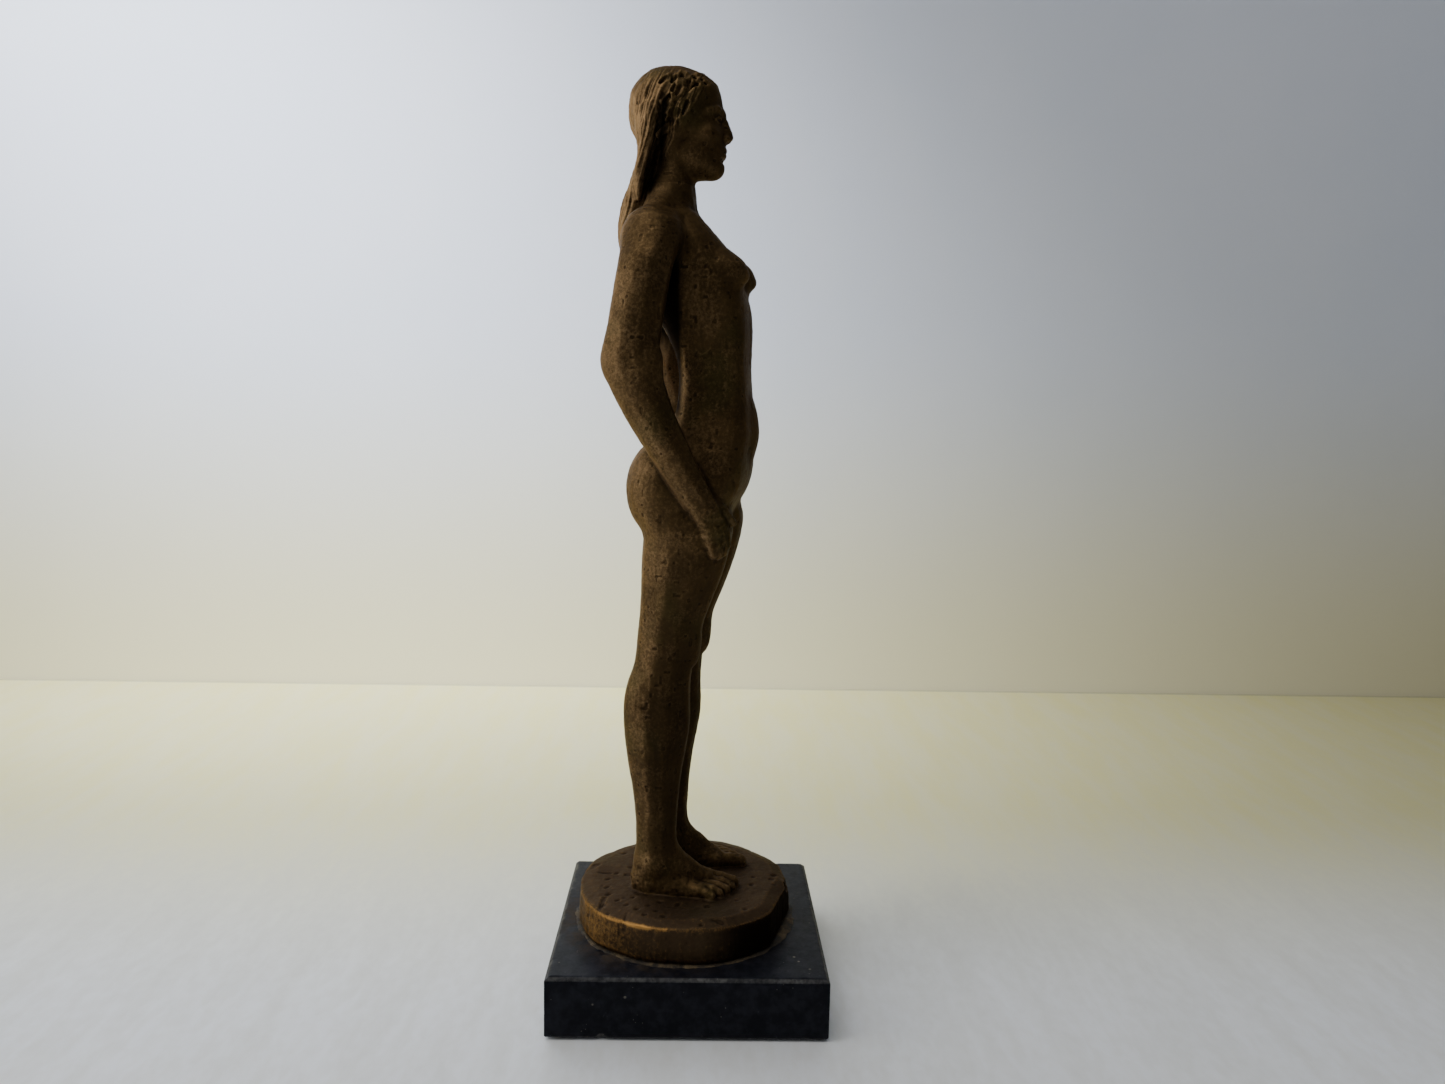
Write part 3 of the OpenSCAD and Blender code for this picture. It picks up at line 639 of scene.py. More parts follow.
def wear_and_highlight_figure(p, n, part, hair):
    """Where hands have rubbed the patina, plus painted highlight on faces turned to the window light: backs of arm,
    thigh and calf, seat, the back of the hair, forearm edge, and painted light on the far arm's inner side.
    """
    x, y, z = p[:, 0], p[:, 1], p[:, 2]
    out = np.where(x < 0, -1.0, 1.0)
    # painted highlight: faces turned back and outward, toward the window light, take the gilded colour
    facing = np.clip(n[:, 0] * out * 0.35 + n[:, 1] * 0.95, 0, 1)
    w = 0.52 * facing ** 1.1
    # painted highlight on the legs: a lit strip on the faces turned to the light
    low = step(119, 100, z)
    w = w * (1 - low) + low * (0.06 + 0.28 * step(0.42, 0.68, facing)) * np.interp(z, [0, 40, 90, 115], [0.74, 0.80, 0.88, 1.0])
    if part.endswith("arm"):
        w += 0.12 * step(0.2, 0.7, n[:, 0] * out) * step(0.45, 0.15, n[:, 1])
    w *= 0.80 + 0.30 * fbm(p / np.array([5, 5, 14.0]), 91, 2)
    w += 0.13 * step(0.25, 0.7, fbm(p / 6.0, 95, 2) + 0.35)
    w += 0.30 * hair * step(9.5, 13.0, y) * step(264, 256, z)
    # painted light on the inner side of the far arm, seen past the waist
    w += 0.60 * step(-0.2, -0.6, n[:, 0] * out) * step(18, 21, np.abs(x)) * step(158, 166, z) * step(192, 184, z)
    return np.clip(w, 0, 1.1)


def painted_shade_figure(p, n, part):
    """Painted shade: near-black colour laid where shade falls, between arm and trunk, beside the waist, in the hair
    channel, on the legs' shaded front and between the legs.
    """
    x, y, z = np.abs(p[:, 0]), p[:, 1], p[:, 2]
    g = np.zeros(len(p))
    # painted shade between arm and trunk
    g = np.maximum(g, step(23.0, 20.8, x) * step(15.0, 17.0, x) * step(176, 188, z) * step(215, 208, z) * step(1.5, 5.5, y))
    # painted shade on the flank of the waist behind the arm
    aside = step(-0.4, -0.15, n[:, 0] * np.sign(p[:, 0]))
    g = np.maximum(g, aside * step(5.5, 7.5, x) * step(19.5, 18.5, x) * step(2.5, 4.5, y) * step(155, 161, z) * step(216, 209, z))
    # painted shade in the channel in front of the lock of hair
    line = np.interp(z, [226, 229.5, 234, 239, 244.5, 250.5, 257], [16.6, 16.0, 14.6, 13.0, 11.8, 11.2, 10.8])
    wide = np.interp(z, [226, 230, 236, 244, 250, 258], [1.2, 2.8, 3.6, 2.4, 1.8, 1.0])
    g = np.maximum(g, bell(y, line - 0.4, wide) * step(226, 229, z) * step(259, 255, z) * step(4.5, 6.5, x))
    # painted shade on the front of the legs, the side turned away from the light
    facing = n[:, 0] * np.sign(p[:, 0]) * 0.35 + n[:, 1] * 0.95
    g = np.maximum(g, np.interp(z, [4, 12, 30, 62, 112, 119], [0, 0.2, 0.44, 0.44, 0.14, 0]) * step(0.62, 0.34, facing))
    # painted shade low between the legs
    g = np.maximum(g, 0.6 * step(5.5, 2.5, x) * step(118, 108, z) * step(6, 20, z))
    return np.clip(g, 0, 1)


built = {}
SPECS = {
    "right_leg": ((-27, -32, -2.2), (3, 25, 122.5), 0.44, "right_leg_cast"),
    "left_leg": ((-3, -32, -2.2), (27, 25, 122.5), 0.44, "left_leg_cast"),
    "torso": ((-29, -25, 115.6), (29, 30, 228.4), 0.47, "torso_cast"),
    "right_arm": ((-38, -20, 109), (-9, 30, 224), 0.38, "right_arm_cast"),
    "left_arm": ((9, -20, 109), (38, 30, 224), 0.38, "left_arm_cast"),
    "head": ((-15.5, -15.5, 221.5), (15.5, 30, 270.5), 0.28, "head_cast"),
    "plinth": ((-40, -38, -13.4), (38, 40, 9), 0.5, "plinth_cast"),
}


def build(node):
    lo, hi, h, name = SPECS[node]
    B, body_all, A, P, F = fields(lo, hi, h, node)
    x, y, z = (B.ax[0][:, None, None], B.ax[1][None, :, None], B.ax[2][None, None, :])
    arm = np.minimum(A["r"], A["l"])
    if node in ("right_leg", "left_leg"):
        s = np.maximum(z - HIP, x if node == "right_leg" else -x)
        s = np.maximum(s, B.f - arm)
        if P is not None:
            s = np.maximum(s, body_all - P)
    elif node == "torso":
        s = np.maximum(np.maximum(HIP - z, z - NECK), B.f - arm)
    elif node == "head":
        s = NECK - z + 0 * x + 0 * y
    elif node == "plinth":
        s = P - body_all
    else:
        a = A["r"] if node == "right_arm" else A["l"]
        s = a - B.f
        s = np.where(np.abs(a) < 6, s, np.maximum(s, 3))
    f = owned(F, s.astype(np.float32))
    pts, quads = mesh_of(B, f)
    nrm = normals_of(pts, quads)
    if node == "plinth":
        d, hair = texture_plinth(pts, nrm), np.zeros(len(pts))
    else:
        d, hair = texture_figure(pts, nrm, node)
        d = d * step(-0.5, 1.0, pts[:, 2] + 0.8)
    pts = pts + nrm * d[:, None]
    # nothing stands proud of the casting's own height
    over = pts[:, 2] > CROWN - 0.8
    pts[over, 2] = CROWN - 0.8 + 0.8 * np.tanh((pts[over, 2] - CROWN + 0.8) / 0.8)
    nrm = normals_of(pts, quads)
    cav = np.clip(hollow(pts, quads, nrm, 3) / 0.03, -1, 1)
    wide = np.clip(hollow(pts, quads, nrm, 26) / 0.25, -1, 1)
    if node in ("right_leg", "left_leg", "torso"):
        cav = cav * step(0.4, 1.8, np.abs(pts[:, 2] - HIP))
        wide = wide * step(0.8, 5.0, np.abs(pts[:, 2] - HIP))
    # rubbed patina plus painted highlight on faces turned to the light, and painted shade where shade falls
    rub_and_highlight = wear_and_highlight_plinth(pts, nrm) if node == "plinth" else wear_and_highlight_figure(pts, nrm, node, hair)
    painted_shade = painted_shade_plinth(pts, nrm) if node == "plinth" else painted_shade_figure(pts, nrm, node)
    ob = make_object(name, to_row(pts), quads, {"cav": cav, "wide": wide, "rub_and_highlight": rub_and_highlight, "painted_shade": painted_shade})
    return ob


def texture_plinth(p, n):
    r = np.hypot(p[:, 0] - PC[0], p[:, 1] - PC[1])
    th = np.arctan2(p[:, 1] - PC[1], p[:, 0] - PC[0])
    side = step(0.6, 0.3, np.abs(n[:, 2]))
    d = 0.22 * fbm(p / 11.0, 103, 2) + 0.12 * fbm(p / 3.6, 105, 3) + 0.05 * vnoise(p / 1.3, 107)
    q = np.stack([th * 36 / 1.7, 0 * th, p[:, 2] / 9.0], 1)
    d += side * (0.06 * vnoise(q, 111) + 0.035 * vnoise(q * np.array([2.3, 1, 1.6]), 113) - 0.16 * step(0.5, 0.8, vnoise(q * np.array([0.5, 1, 1.1]), 117)))
    d -= 0.35 * step(0.62, 0.82, vnoise(p / 3.1, 121)) * (1 - side)
    return d


def wear_and_highlight_plinth(p, n):
    r = np.hypot(p[:, 0] - PC[0], p[:, 1] - PC[1])
    th = np.degrees(np.arctan2(p[:, 1] - PC[1], p[:, 0] - PC[0]))
    # rubbed rim with painted highlight, strongest where the arris faces the light
    rim_rub_and_highlight = bell(p[:, 2], -1.5, 0.45) * step(34.0, 35.2, r)
    rim_rub_and_highlight = rim_rub_and_highlight * (0.10 + 0.95 * bell(th, 165, 20) + 0.35 * bell(th, -20, 14) + 0.3 * bell(th, 60, 10)) * (0.8 + 0.6 * fbm(p / 5.0, 131, 2))
    # painted highlight on the flank that faces the light
    side = step(0.5, 0.2, np.abs(n[:, 2]))
    rim_rub_and_highlight = rim_rub_and_highlight + 0.40 * side * bell(th, 138, 26)
    return np.clip(rim_rub_and_highlight, 0, 1)


def painted_shade_plinth(p, n):
    """Painted shade: near-black colour on the front flank, the side turned away from the light."""
    th = np.degrees(np.arctan2(p[:, 1] - PC[1], p[:, 0] - PC[0])) % 360
    return 0.85 * step(0.6, 0.3, np.abs(n[:, 2])) * step(198, 226, th) * step(335, 300, th)


for node in SPECS:
    ob = build(node)
    built[node] = ob
    print("built", ob.name, len(ob.data.vertices), "points")

# ---------------------------------------------------------------- stone slab, bed ring, felt


def rings_object(name, rings, caps=True, attrs=None):
    """A closed skin over rings of equal length, with a fan at each end."""
    m, n = len(rings[0]), len(rings)
    pts = np.concatenate(rings)
    faces = []
    i = np.arange(m)
    for j in range(n - 1):
        a, b = j * m + i, j * m + (i + 1) % m
        faces.append(np.stack([a, b, b + m, a + m], 1))
    quads = np.concatenate(faces)
    me = bpy.data.meshes.new(name)
    polys = [list(map(int, q)) for q in quads]
    if caps:
        polys.append([int(k) for k in range(m)][::-1])
        polys.append([int(k) for k in range((n - 1) * m, n * m)])
    me.from_pydata([tuple(q * MM) for q in pts], [], polys)
    me.update()
    me.polygons.foreach_set("use_smooth", np.ones(len(me.polygons), bool))
    for k, v in (attrs or {}).items():
        at = me.attributes.new(k, "FLOAT", "POINT")
        at.data.foreach_set("value", np.asarray(v, np.float32))
    ob = bpy.data.objects.new(name, me)
    bpy.context.scene.collection.objects.link(ob)
    return ob


def square_ring(half, corner, z, per=150, cseg=5):
    """Points round a square of that half side with small rounded corners."""
    out = []
    for k in range(4):
        a0 = math.radians(90 * k - 90)
        # side k runs along direction a0 + 90
        d = np.array([math.cos(a0), math.sin(a0)])
        t = np.array([-d[1], d[0]])
        for i in range(per):
            s = -(half - corner) + 2 * (half - corner) * (i / per)
            out.append([*(d * half + t * s), z])
        c = d * (half - corner) + t * (half - corner)
        for i in range(cseg):
            a = a0 + math.pi / 2 * i / cseg
            out.append([c[0] + corner * math.cos(a), c[1] + corner * math.sin(a), z])
    return np.array(out)


def stone():
    z0, z1, hw = 0.8, 20.3, 44.0
    levels = [  # inset, z, edge mask
        (0.9, z0, 0), (0.5, z0 + 0.02, 0.5), (0.16, z0 + 0.22, 1), (0.0, z0 + 0.6, 0.6), (0.0, z0 + 1.2, 0)]
    levels += [(0.0, z0 + 1.2 + (17.0 / 14) * i, 0) for i in range(1, 15)]
    levels += [(0.0, z1 - 1.25, 0.2), (0.02, z1 - 1.05, 0.9), (0.5, z1 - 0.52, 1), (0.98, z1 - 0.04, 0.9), (1.25, z1, 0.3), (2.2, z1, 0), (4, z1, 0), (8, z1, 0)]
    rings, edge = [], []
    for inset, z, m in levels:
        r = square_ring(hw - inset, 0.35, z)
        rings.append(r)
        edge.append(np.full(len(r), m))
    pts, edge = np.concatenate(rings), np.concatenate(edge)
    per = len(rings[0])
    # worn and nicked arrises
    nick = fbm(pts / np.array([2.2, 2.2, 60.0]), 201, 3)
    chip = step(0.36, 0.62, vnoise(pts / np.array([3.3, 3.3, 80.0]), 207))
    inward = -np.stack([np.where(np.abs(pts[:, 0]) > 42, np.sign(pts[:, 0]), 0), np.where(np.abs(pts[:, 1]) > 42, np.sign(pts[:, 1]), 0), np.zeros(len(pts))], 1)
    up = np.where(pts[:, 2] > 10, -1.0, 0.5)
    amt = edge * (0.05 * (nick + 1) + 0.16 * chip)
    pts = pts + inward * amt[:, None]
    pts[:, 2] += up * amt * 0.7
    # a larger old chip low on the face towards -X
    c = np.array([-44.0, 26.5, 1.2])
    dd = np.linalg.norm((pts - c) / np.array([1.2, 2.2, 1.8]), axis=1)
    pts[:, 0] += 0.9 * step(1.0, 0.2, dd) * (0.6 + 0.4 * nick)
    edge = np.maximum(edge, step(1.15, 0.5, dd))
    pts[:, 0] = np.clip(pts[:, 0], -44, 44)
    pts[:, 1] = np.clip(pts[:, 1], -44, 44)
    rings = [pts[i * per:(i + 1) * per] for i in range(len(levels))]
    ob = rings_object("stone_base_slab", rings, True, {"edge": edge})
    return ob


slab = stone()


def bed():
    n, rings = 420, []
    th = np.linspace(0, 2 * np.pi, n, endpoint=False)
    prof = [(30.5, 0.0), (30.5, 0.2), (34.2, 0.22), (35.2, 0.22), (35.8, 0.22), (36.3, 0.20), (36.8, 0.16), (37.3, 0.07), (37.6, 0.0)]
    base = np.stack([np.cos(th) * 6.0, np.sin(th) * 6.0, 0 * th], 1)
    lump = fbm(base * 1.1, 301, 3)
    lump2 = fbm(base * 4.0, 303, 2)
    pts = []
    for i, (r, z) in enumerate(prof):
        rr = r + (0.8 * lump + 0.5 * lump2) * step(35.2, 36.8, r)
        zz = z * (0.85 + 0.5 * lump2 * step(34, 36.5, r))
        zz = np.clip(zz, 0, 0.26)
        pts.append(np.stack([rr * np.cos(th), 1.4 + rr * np.sin(th), 20.3 - 0.01 + zz], 1))
    # closed section: join the last ring back to the first
    rings = np.array(pts)
    m = n
    quads = []
    i = np.arange(m)
    k = len(rings)
    for j in range(k):
        a, b = j * m + i, j * m + (i + 1) % m
        c, d = ((j + 1) % k) * m + (i + 1) % m, ((j + 1) % k) * m + i
        quads.append(np.stack([a, d, c, b], 1))
    return make_object("setting_bed_ring", rings.reshape(-1, 3), np.concatenate(quads))


bed_ring = bed()


def felt():
    n, t, w = 60, 0.8, 41.0
    u = np.linspace(-1, 1, n)
    X, Y = np.meshgrid(u, u, indexing="ij")
    flat = np.stack([X.ravel() * w, Y.ravel() * w, 0 * X.ravel()], 1)
    # corners clipped 2 mm
    ax, ay = np.abs(flat[:, 0]), np.abs(flat[:, 1])
    over = np.maximum(ax + ay - (2 * w - 2), 0) / 2
    flat[:, 0] -= np.sign(flat[:, 0]) * over
    flat[:, 1] -= np.sign(flat[:, 1]) * over
    fuzz = 0.05 * fbm(flat / 1.7, 401, 2)
    border = np.maximum(ax, ay) > w - 0.01
    flat[:, 0] += np.where(border & (ax >= ay), np.sign(flat[:, 0]) * np.minimum(fuzz, 0), 0)
    flat[:, 1] += np.where(border & (ay >= ax), np.sign(flat[:, 1]) * np.minimum(fuzz, 0), 0)
    top, low = flat.copy(), flat.copy()
    top[:, 2] = t
    low[:, 2] = np.clip(0.02 + 0.02 * fbm(flat / 2.5, 403, 2), 0, 0.05)
    low[:, 2] -= low[:, 2].min()
    pts = np.concatenate([low, top])
    N = n * n
    idx = np.arange(N).reshape(n, n)
    a, b, c, d = idx[:-1, :-1].ravel(), idx[1:, :-1].ravel(), idx[1:, 1:].ravel(), idx[:-1, 1:].ravel()
    quads = [np.stack([a, d, c, b], 1), np.stack([a, b, c, d], 1) + N]
    loop = np.concatenate([idx[:-1, 0], idx[-1, :-1], idx[:0:-1, -1], idx[0, :0:-1]])
    nx = np.roll(loop, -1)
    quads.append(np.stack([loop, nx, nx + N, loop + N], 1))
    return make_object("felt_pad_sheet", pts, np.concatenate(quads))


pad = felt()

# ---------------------------------------------------------------- materials


class Mat:
    """Short hand for building a node material."""

    def __init__(self, name):
        self.m = bpy.data.materials.new(name)
        self.m.use_nodes = True
        self.t = self.m.node_tree
        self.t.nodes.clear()
        self.out = self.t.nodes.new("ShaderNodeOutputMaterial")
        self.bsdf = self.t.nodes.new("ShaderNodeBsdfPrincipled")
        self.t.links.new(self.bsdf.outputs[0], self.out.inputs[0])
        tc = self.t.nodes.new("ShaderNodeTexCoord")
        self.pos = tc.outputs["Object"]

    def link(self, a, b):
        self.t.links.new(a, b)

    def val(self, sock, v):
        if hasattr(v, "is_output"):
            self.link(v, sock)
        else:
            sock.default_value = v

    def noise(self, scale, detail=4, rough=0.55, vec=None, stretch=None, dist=0.0):
        n = self.t.nodes.new("ShaderNodeTexNoise")
        n.inputs["Scale"].default_value = scale
        n.inputs["Detail"].default_value = detail
        n.inputs["Roughness"].default_value = rough
        n.inputs["Distortion"].default_value = dist
        v = vec or self.pos
        if stretch:
            mp = self.t.nodes.new("ShaderNodeMapping")
            mp.inputs["Scale"].default_value = stretch
            self.link(v, mp.inputs["Vector"])
            v = mp.outputs[0]
        self.link(v, n.inputs["Vector"])
        return n.outputs["Fac"]

    def cells(self, scale, feature="F1", out="Distance", rand=1.0):
        n = self.t.nodes.new("ShaderNodeTexVoronoi")
        n.feature = feature
        n.inputs["Scale"].default_value = scale
        n.inputs["Randomness"].default_value = rand
        self.link(self.pos, n.inputs["Vector"])
        return n.outputs[out]

    def attr(self, name):
        n = self.t.nodes.new("ShaderNodeAttribute")
        n.attribute_name = name
        return n.outputs["Fac"]

    def math(self, op, a, b=0.0, c=None, clamp=False):
        n = self.t.nodes.new("ShaderNodeMath")
        n.operation = op
        n.use_clamp = clamp
        self.val(n.inputs[0], a)
        self.val(n.inputs[1], b)
        if c is not None:
            self.val(n.inputs[2], c)
        return n.outputs[0]

    def ramp(self, x, a, b, lo=0.0, hi=1.0):
        n = self.t.nodes.new("ShaderNodeMapRange")
        n.interpolation_type = "SMOOTHSTEP"
        n.inputs["From Min"].default_value = a
        n.inputs["From Max"].default_value = b
        n.inputs["To Min"].default_value = lo
        n.inputs["To Max"].default_value = hi
        self.link(x, n.inputs["Value"])
        return n.outputs["Result"]

    def mix(self, f, a, b):
        n = self.t.nodes.new("ShaderNodeMix")
        n.data_type = "RGBA"
        self.val(n.inputs[0], f)
        for s, v in ((n.inputs[6], a), (n.inputs[7], b)):
            if hasattr(v, "is_output"):
                self.link(v, s)
            else:
                s.default_value = (*v, 1.0)
        return n.outputs[2]

    def bump(self, height, strength, dist, prev=None):
        n = self.t.nodes.new("ShaderNodeBump")
        n.inputs["Strength"].default_value = strength
        n.inputs["Distance"].default_value = dist
        self.link(height, n.inputs["Height"])
        if prev is not None:
            self.link(prev, n.inputs["Normal"])
        return n.outputs[0]

    def xyz(self):
        n = self.t.nodes.new("ShaderNodeSeparateXYZ")
        self.link(self.pos, n.inputs[0])
        return n.outputs

    def set(self, **kw):
        names = {"color": "Base Color", "metal": "Metallic", "rough": "Roughness", "normal": "Normal", "ior": "IOR", "spec": "Specular IOR Level",
                 "coat": "Coat Weight", "coat_rough": "Coat Roughness", "sheen": "Sheen Weight", "sheen_rough": "Sheen Roughness"}
        for k, v in kw.items():
            s = self.bsdf.inputs[names[k]]
            if isinstance(v, tuple):
                s.default_value = (*v, 1.0)
            else:
                self.val(s, v)
        return self.m


def bronze(name, dark=(0.036, 0.021, 0.009), mid=(0.112, 0.067, 0.025), gold=(0.292, 0.180, 0.086), green=(0.062, 0.056, 0.016), rough_shift=0.0, green_amt=0.5):
    m = Mat(name)
    cav, wide, rub_and_highlight, painted_shade = m.attr("cav"), m.attr("wide"), m.attr("rub_and_highlight"), m.attr("painted_shade")
    blotch = m.noise(95, 5, 0.6)
    fine = m.noise(1100, 3, 0.65)
    grain = m.noise(2600, 2, 0.5)
    # patina tone
    tone = m.math("ADD", m.ramp(blotch, 0.34, 0.66, -0.14, 0.14), m.ramp(fine, 0.35, 0.65, -0.12, 0.12))
    tone = m.math("SUBTRACT", tone, m.math("MULTIPLY", cav, 0.16))
    tone = m.math("SUBTRACT", tone, m.math("MULTIPLY", wide, 0.10))
    tone = m.math("ADD", tone, 0.42, clamp=True)
    col = m.mix(tone, dark, mid)
    # green-brown stain in broad patches
    stain = m.math("MULTIPLY", m.ramp(m.noise(38, 3, 0.5), 0.50, 0.66), green_amt, clamp=True)
    col = m.mix(stain, col, m.mix(tone, (0.022, 0.019, 0.006), green))
    # rubbed metal and painted highlight: wear plus painted highlight on faces turned to the light, broken up by the
    # grain, strongest on raised places
    g = m.math("ADD", rub_and_highlight, m.math("MULTIPLY", cav, -0.16))
    g = m.math("ADD", g, m.math("MULTIPLY", wide, -0.08))
    g = m.math("ADD", g, m.ramp(fine, 0.3, 0.7, -0.13, 0.13))
    g = m.math("ADD", g, m.ramp(grain, 0.3, 0.7, -0.08, 0.08))
    g = m.ramp(g, 0.10, 1.05)
    col = m.mix(g, col, gold)
    deep = m.ramp(cav, 0.45, 1.0)
    col = m.mix(m.math("MULTIPLY", deep, 0.45), col, (0.012, 0.007, 0.003))
    # painted shade: the shade mask darkens the colour nearly to black
    col = m.mix(m.math("MULTIPLY", painted_shade, 0.95, clamp=True), col, (0.0035, 0.0025, 0.0015))
    metal = m.math("ADD", m.math("MULTIPLY", g, 0.25), 0.62, clamp=True)
    rough = m.math("ADD", m.math("MULTIPLY", g, -0.10), m.ramp(fine, 0.3, 0.7, 0.46 + rough_shift, 0.60 + rough_shift))
    rough = m.math("ADD", rough, m.math("MULTIPLY", painted_shade, 0.4), clamp=True)
    h = m.math("ADD", m.math("MULTIPLY", fine, 0.7), m.math("MULTIPLY", grain, 0.3))
    nrm = m.bump(h, 0.50, 0.00020)
    nrm = m.bump(m.noise(420, 3, 0.55), 0.45, 0.0004, nrm)
    m.set(color=col, metal=metal, rough=rough, normal=nrm)
    m.bsdf.inputs["Specular IOR Level"].default_value = 0.18
    m.bsdf.inputs["Specular Tint"].default_value = (0.55, 0.46, 0.36, 1.0)
    return m.m


bronze_fig = bronze("bronze_figure_patina")
bronze_pl = bronze("bronze_plinth_patina", dark=(0.030, 0.018, 0.010), mid=(0.075, 0.047, 0.024), gold=(0.40, 0.21, 0.060), green=(0.050, 0.044, 0.022), rough_shift=0.06, green_amt=0.3)


def stone_material():
    m = Mat("black_stone_polish")
    edge = m.attr("edge")
    n1 = m.noise(260, 4, 0.6)
    base = m.mix(m.ramp(n1, 0.35, 0.7), (0.0062, 0.0066, 0.0096), (0.0140, 0.0146, 0.0200))
    # pale specks, few and small
    speck = m.math("MULTIPLY", m.ramp(m.cells(620), 0.16, 0.06), m.ramp(m.noise(150, 2, 0.5), 0.56, 0.66), clamp=True)
    speck2 = m.math("MULTIPLY", m.ramp(m.cells(170), 0.10, 0.04), m.ramp(m.noise(60, 2, 0.5), 0.52, 0.60), clamp=True)
    col = m.mix(m.math("MULTIPLY", speck, 0.55), base, (0.16, 0.15, 0.13))
    col = m.mix(m.math("MULTIPLY", speck2, 0.6), col, (0.22, 0.20, 0.16))
    haze = m.math("MULTIPLY", m.ramp(m.noise(1500, 3, 0.7, stretch=(1, 1, 0.35)), 0.60, 0.72), m.ramp(m.noise(75, 3, 0.6), 0.45, 0.65), clamp=True)
    col = m.mix(m.math("MULTIPLY", haze, 0.30), col, (0.075, 0.075, 0.080))
    # ground arris: paler, broken
    brk = m.ramp(m.noise(520, 4, 0.65), 0.34, 0.66, 0.35, 1.0)
    lng = m.ramp(m.noise(45, 2, 0.5), 0.40, 0.62, 0.55, 1.0)
    e = m.math("MULTIPLY", m.ramp(edge, 0.80, 0.99), m.math("MULTIPLY", brk, lng), clamp=True)
    col = m.mix(m.math("MULTIPLY", e, 0.50), col, (0.22, 0.215, 0.20))
    # brown dust that lies on the top beside the bronze
    x, y, z = m.xyz()
    d = m.math("SQRT", m.math("ADD", m.math("POWER", m.math("SUBTRACT", x, 0.0), 2.0), m.math("POWER", m.math("SUBTRACT", y, 0.0014), 2.0)))
    near = m.ramp(d, 0.047, 0.037)
    backside = m.ramp(y, -0.012, 0.030, 0.12, 1.0)
    top = m.ramp(z, 0.0195, 0.0201)
    dust = m.math("MULTIPLY", m.math("MULTIPLY", near, backside), m.math("MULTIPLY", top, m.ramp(m.noise(210, 5, 0.7), 0.36, 0.64)), clamp=True)
    col = m.mix(m.math("MULTIPLY", dust, 0.5), col, (0.085, 0.060, 0.036))
    rough = m.math("ADD", m.ramp(m.noise(700, 3, 0.6), 0.3, 0.7, 0.34, 0.46), m.math("MULTIPLY", m.math("MAXIMUM", e, dust), 0.4), clamp=True)
    nrm = m.bump(m.noise(900, 3, 0.5), 0.08, 0.0002)
    nrm = m.bump(m.math("ADD", speck, brk), 0.10, 0.0001, nrm)
    m.set(color=col, rough=rough, normal=nrm, metal=0.0)
    m.bsdf.inputs["Specular IOR Level"].default_value = 0.07
    return m.m


def bed_material():
    m = Mat("setting_residue")
    a = m.noise(420, 5, 0.65)
    b = m.noise(70, 3, 0.5)
    col = m.mix(m.ramp(a, 0.36, 0.66), (0.020, 0.014, 0.008), (0.13, 0.090, 0.042))
    col = m.mix(m.ramp(b, 0.42, 0.62, 0.0, 0.75), col, (0.018, 0.014, 0.010))
    nrm = m.bump(a, 0.9, 0.0005)
    m.set(color=col, rough=m.ramp(a, 0.3, 0.7, 0.75, 0.95), normal=nrm)
    return m.m


def felt_material():
    m = Mat("green_wool_felt")
    a = m.noise(1900, 5, 0.7, stretch=(1, 1, 1), dist=1.5)
    b = m.noise(160, 3, 0.5)
    col = m.mix(m.ramp(a, 0.3, 0.7), (0.010, 0.030, 0.017), (0.035, 0.085, 0.050))
    col = m.mix(m.ramp(b, 0.4, 0.7, 0.0, 0.35), col, (0.045, 0.060, 0.045))
    nrm = m.bump(a, 0.8, 0.0004)
    m.set(color=col, rough=0.95, normal=nrm)
    m.bsdf.inputs["Sheen Weight"].default_value = 0.3
    m.bsdf.inputs["Sheen Roughness"].default_value = 0.5
    return m.m


def steel_material():
    m = Mat("zinc_plated_steel")
    a = m.noise(420, 4, 0.6)
    turn = m.noise(1500, 2, 0.5, stretch=(1, 1, 14))
    col = m.mix(m.ramp(a, 0.35, 0.65), (0.42, 0.42, 0.40), (0.60, 0.60, 0.57))
    nrm = m.bump(turn, 0.25, 0.0001)
    m.set(color=col, metal=1.0, rough=m.ramp(a, 0.3, 0.7, 0.30, 0.45), normal=nrm)
    return m.m


def pin_material():
    m = Mat("bare_bronze_rod")
    a = m.noise(520, 4, 0.6)
    turn = m.noise(1800, 2, 0.5, stretch=(1, 1, 10))
    col = m.mix(m.ramp(a, 0.35, 0.65), (0.30, 0.17, 0.07), (0.45, 0.27, 0.11))
    nrm = m.bump(turn, 0.3, 0.0001)
    m.set(color=col, metal=1.0, rough=m.ramp(a, 0.3, 0.7, 0.32, 0.5), normal=nrm)
    return m.m


def put(ob, mat):
    ob.data.materials.clear()
    ob.data.materials.append(mat)


for node, ob in built.items():
    put(ob, bronze_pl if node == "plinth" else bronze_fig)
    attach(ob, "root")
    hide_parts(node)

for ob, node, mat, slot in ((slab, "stone_base", stone_material(), "black_stone"), (bed_ring, "setting_bed", bed_material(), "setting_compound"), (pad, "felt_pad", felt_material(), "felt")):
    put(ob, mat)
    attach(ob, "root")
    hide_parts(node)

steel, rod = steel_material(), pin_material()
for node in ("base_stud", "base_washer", "base_nut"):
    put(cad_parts[node], steel)
for node in ("foot_pins", "joint_dowels"):
    put(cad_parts[node], rod)

# ---------------------------------------------------------------- stage, light, camera


def plane(name, corners, mat):
    me = bpy.data.meshes.new(name)
    me.from_pydata([tuple(c) for c in corners], [], [tuple(range(len(corners)))])
    me.update()
    ob = bpy.data.objects.new(name, me)
    bpy.context.scene.collection.objects.link(ob)
    ob.data.materials.append(mat)
    return ob


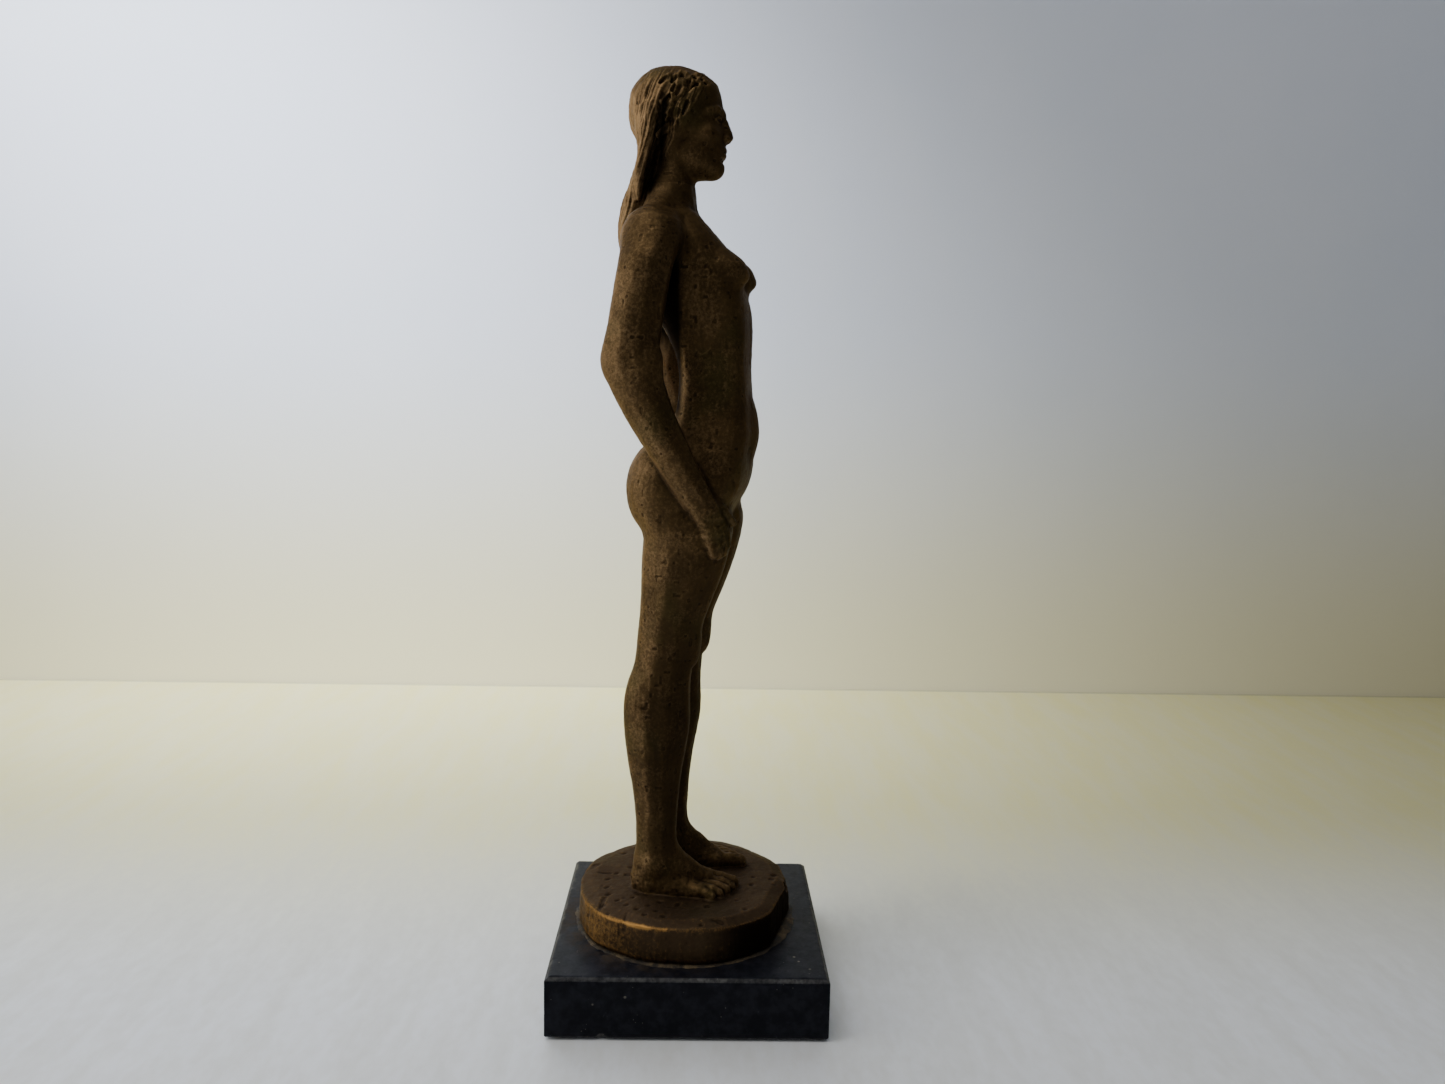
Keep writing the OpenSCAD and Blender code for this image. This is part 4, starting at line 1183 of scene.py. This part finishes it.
def floor_material():
    m = Mat("pale_floor")
    a = m.noise(14, 4, 0.6, stretch=(1.0, 5.0, 1.0))
    b = m.noise(260, 4, 0.6, stretch=(0.5, 1.0, 1.0))
    x, y, z = m.xyz()
    # painted light: the floor is paler and bluer towards the camera and yellower towards the wall, standing in for how
    # the light falls across it
    painted_light_gradient = m.ramp(x, -0.04, 0.17)
    col = m.mix(painted_light_gradient, (0.96, 0.98, 1.0), (0.68, 0.635, 0.29))
    col = m.mix(m.ramp(a, 0.35, 0.65, 0.0, 0.25), col, (0.70, 0.69, 0.60))
    col = m.mix(m.ramp(b, 0.3, 0.7, 0.0, 0.2), col, (0.68, 0.67, 0.60))
    # painted shade in the fold where the floor meets the wall
    wall_foot_shade = m.ramp(m.math("SUBTRACT", m.math("ADD", x, m.math("MULTIPLY", y, 0.01099)), 0.38412), -0.005, -0.001)
    col = m.mix(m.math("MULTIPLY", wall_foot_shade, 0.6), col, (0.30, 0.28, 0.22))
    m.set(color=col, rough=m.ramp(b, 0.3, 0.7, 0.42, 0.55), normal=m.bump(b, 0.1, 0.0003))
    return m.m


def wall_material():
    m = Mat("pale_wall")
    a = m.noise(5, 4, 0.6)
    b = m.noise(300, 3, 0.6)
    x, y, z = m.xyz()
    col = m.mix(m.ramp(a, 0.3, 0.7), (0.72, 0.77, 0.90), (0.76, 0.80, 0.92))
    col = m.mix(m.ramp(z, 0.26, 0.02), col, (0.80, 0.76, 0.56))
    m.set(color=col, rough=0.7, normal=m.bump(b, 0.1, 0.0003))
    return m.m


wx0, wx1 = 0.3789, 0.3900          # the wall's foot at Y = 0.475 and at Y = -0.535
slope = (wx1 - wx0) / (-0.535 - 0.475)


def wall_x(y):
    return wx0 + slope * (y - 0.475)


F_Y = 3.0
floor_o = plane("floor", [(-3, -F_Y, 0), (wall_x(-F_Y), -F_Y, 0), (wall_x(F_Y), F_Y, 0), (-3, F_Y, 0)], floor_material())
wall_o = plane("wall", [(wall_x(-F_Y), -F_Y, 0), (wall_x(-F_Y), -F_Y, 2.4), (wall_x(F_Y), F_Y, 2.4), (wall_x(F_Y), F_Y, 0)], wall_material())


def area(name, loc, target, size, power, color):
    li = bpy.data.lights.new(name, "AREA")
    li.shape = "RECTANGLE"
    li.size, li.size_y = size
    li.energy = power
    li.color = color
    ob = bpy.data.objects.new(name, li)
    ob.location = loc
    ob.rotation_mode = "QUATERNION"
    ob.rotation_quaternion = (Vector(target) - Vector(loc)).to_track_quat("-Z", "Y")
    bpy.context.scene.collection.objects.link(ob)
    return ob


area("window", (-0.20, 1.15, 0.45), (0.06, 0.0, 0.14), (1.1, 0.9), 6.4, (0.96, 0.98, 1.0))
wash = area("wall_wash", (0.06, 0.46, 0.85), (0.39, 0.28, 0.26), (0.5, 0.2), 2.6, (0.94, 0.97, 1.0))
wash.data.spread = math.radians(56)
area("ceiling", (-0.30, 0.30, 1.35), (-0.05, 0.05, 0.0), (1.0, 1.0), 7.2, (1.0, 0.98, 0.95))

world = bpy.data.worlds.new("soft_room")
world.use_nodes = True
bg = world.node_tree.nodes["Background"]
bg.inputs[0].default_value = (0.80, 0.84, 0.90, 1)
bg.inputs[1].default_value = 0.08
bpy.context.scene.world = world

cam_data = bpy.data.cameras.new("camera")
cam_data.sensor_width = 36.0
cam_data.lens = 1092.0 / 1445.0 * 36.0
cam_data.clip_start, cam_data.clip_end = 0.01, 20
cam = bpy.data.objects.new("camera", cam_data)
yaw, pitch, roll = (math.radians(v) for v in (-1.249, -7.043, -1.194))
R = Matrix.Rotation(yaw, 3, "Z") @ Matrix.Rotation(pitch, 3, "X") @ Matrix.Rotation(roll, 3, "Y")


def solve_to_row(v):
    return Vector((v[1], -v[0], v[2]))


right, fwd, up = (solve_to_row(R.col[i]) for i in range(3))
M = Matrix((right, up, -fwd)).transposed().to_4x4()
M.translation = Vector((-0.35992, -0.00101, 0.19472))
cam.matrix_world = M
bpy.context.scene.collection.objects.link(cam)
bpy.context.scene.camera = cam

bpy.context.view_layer.update()
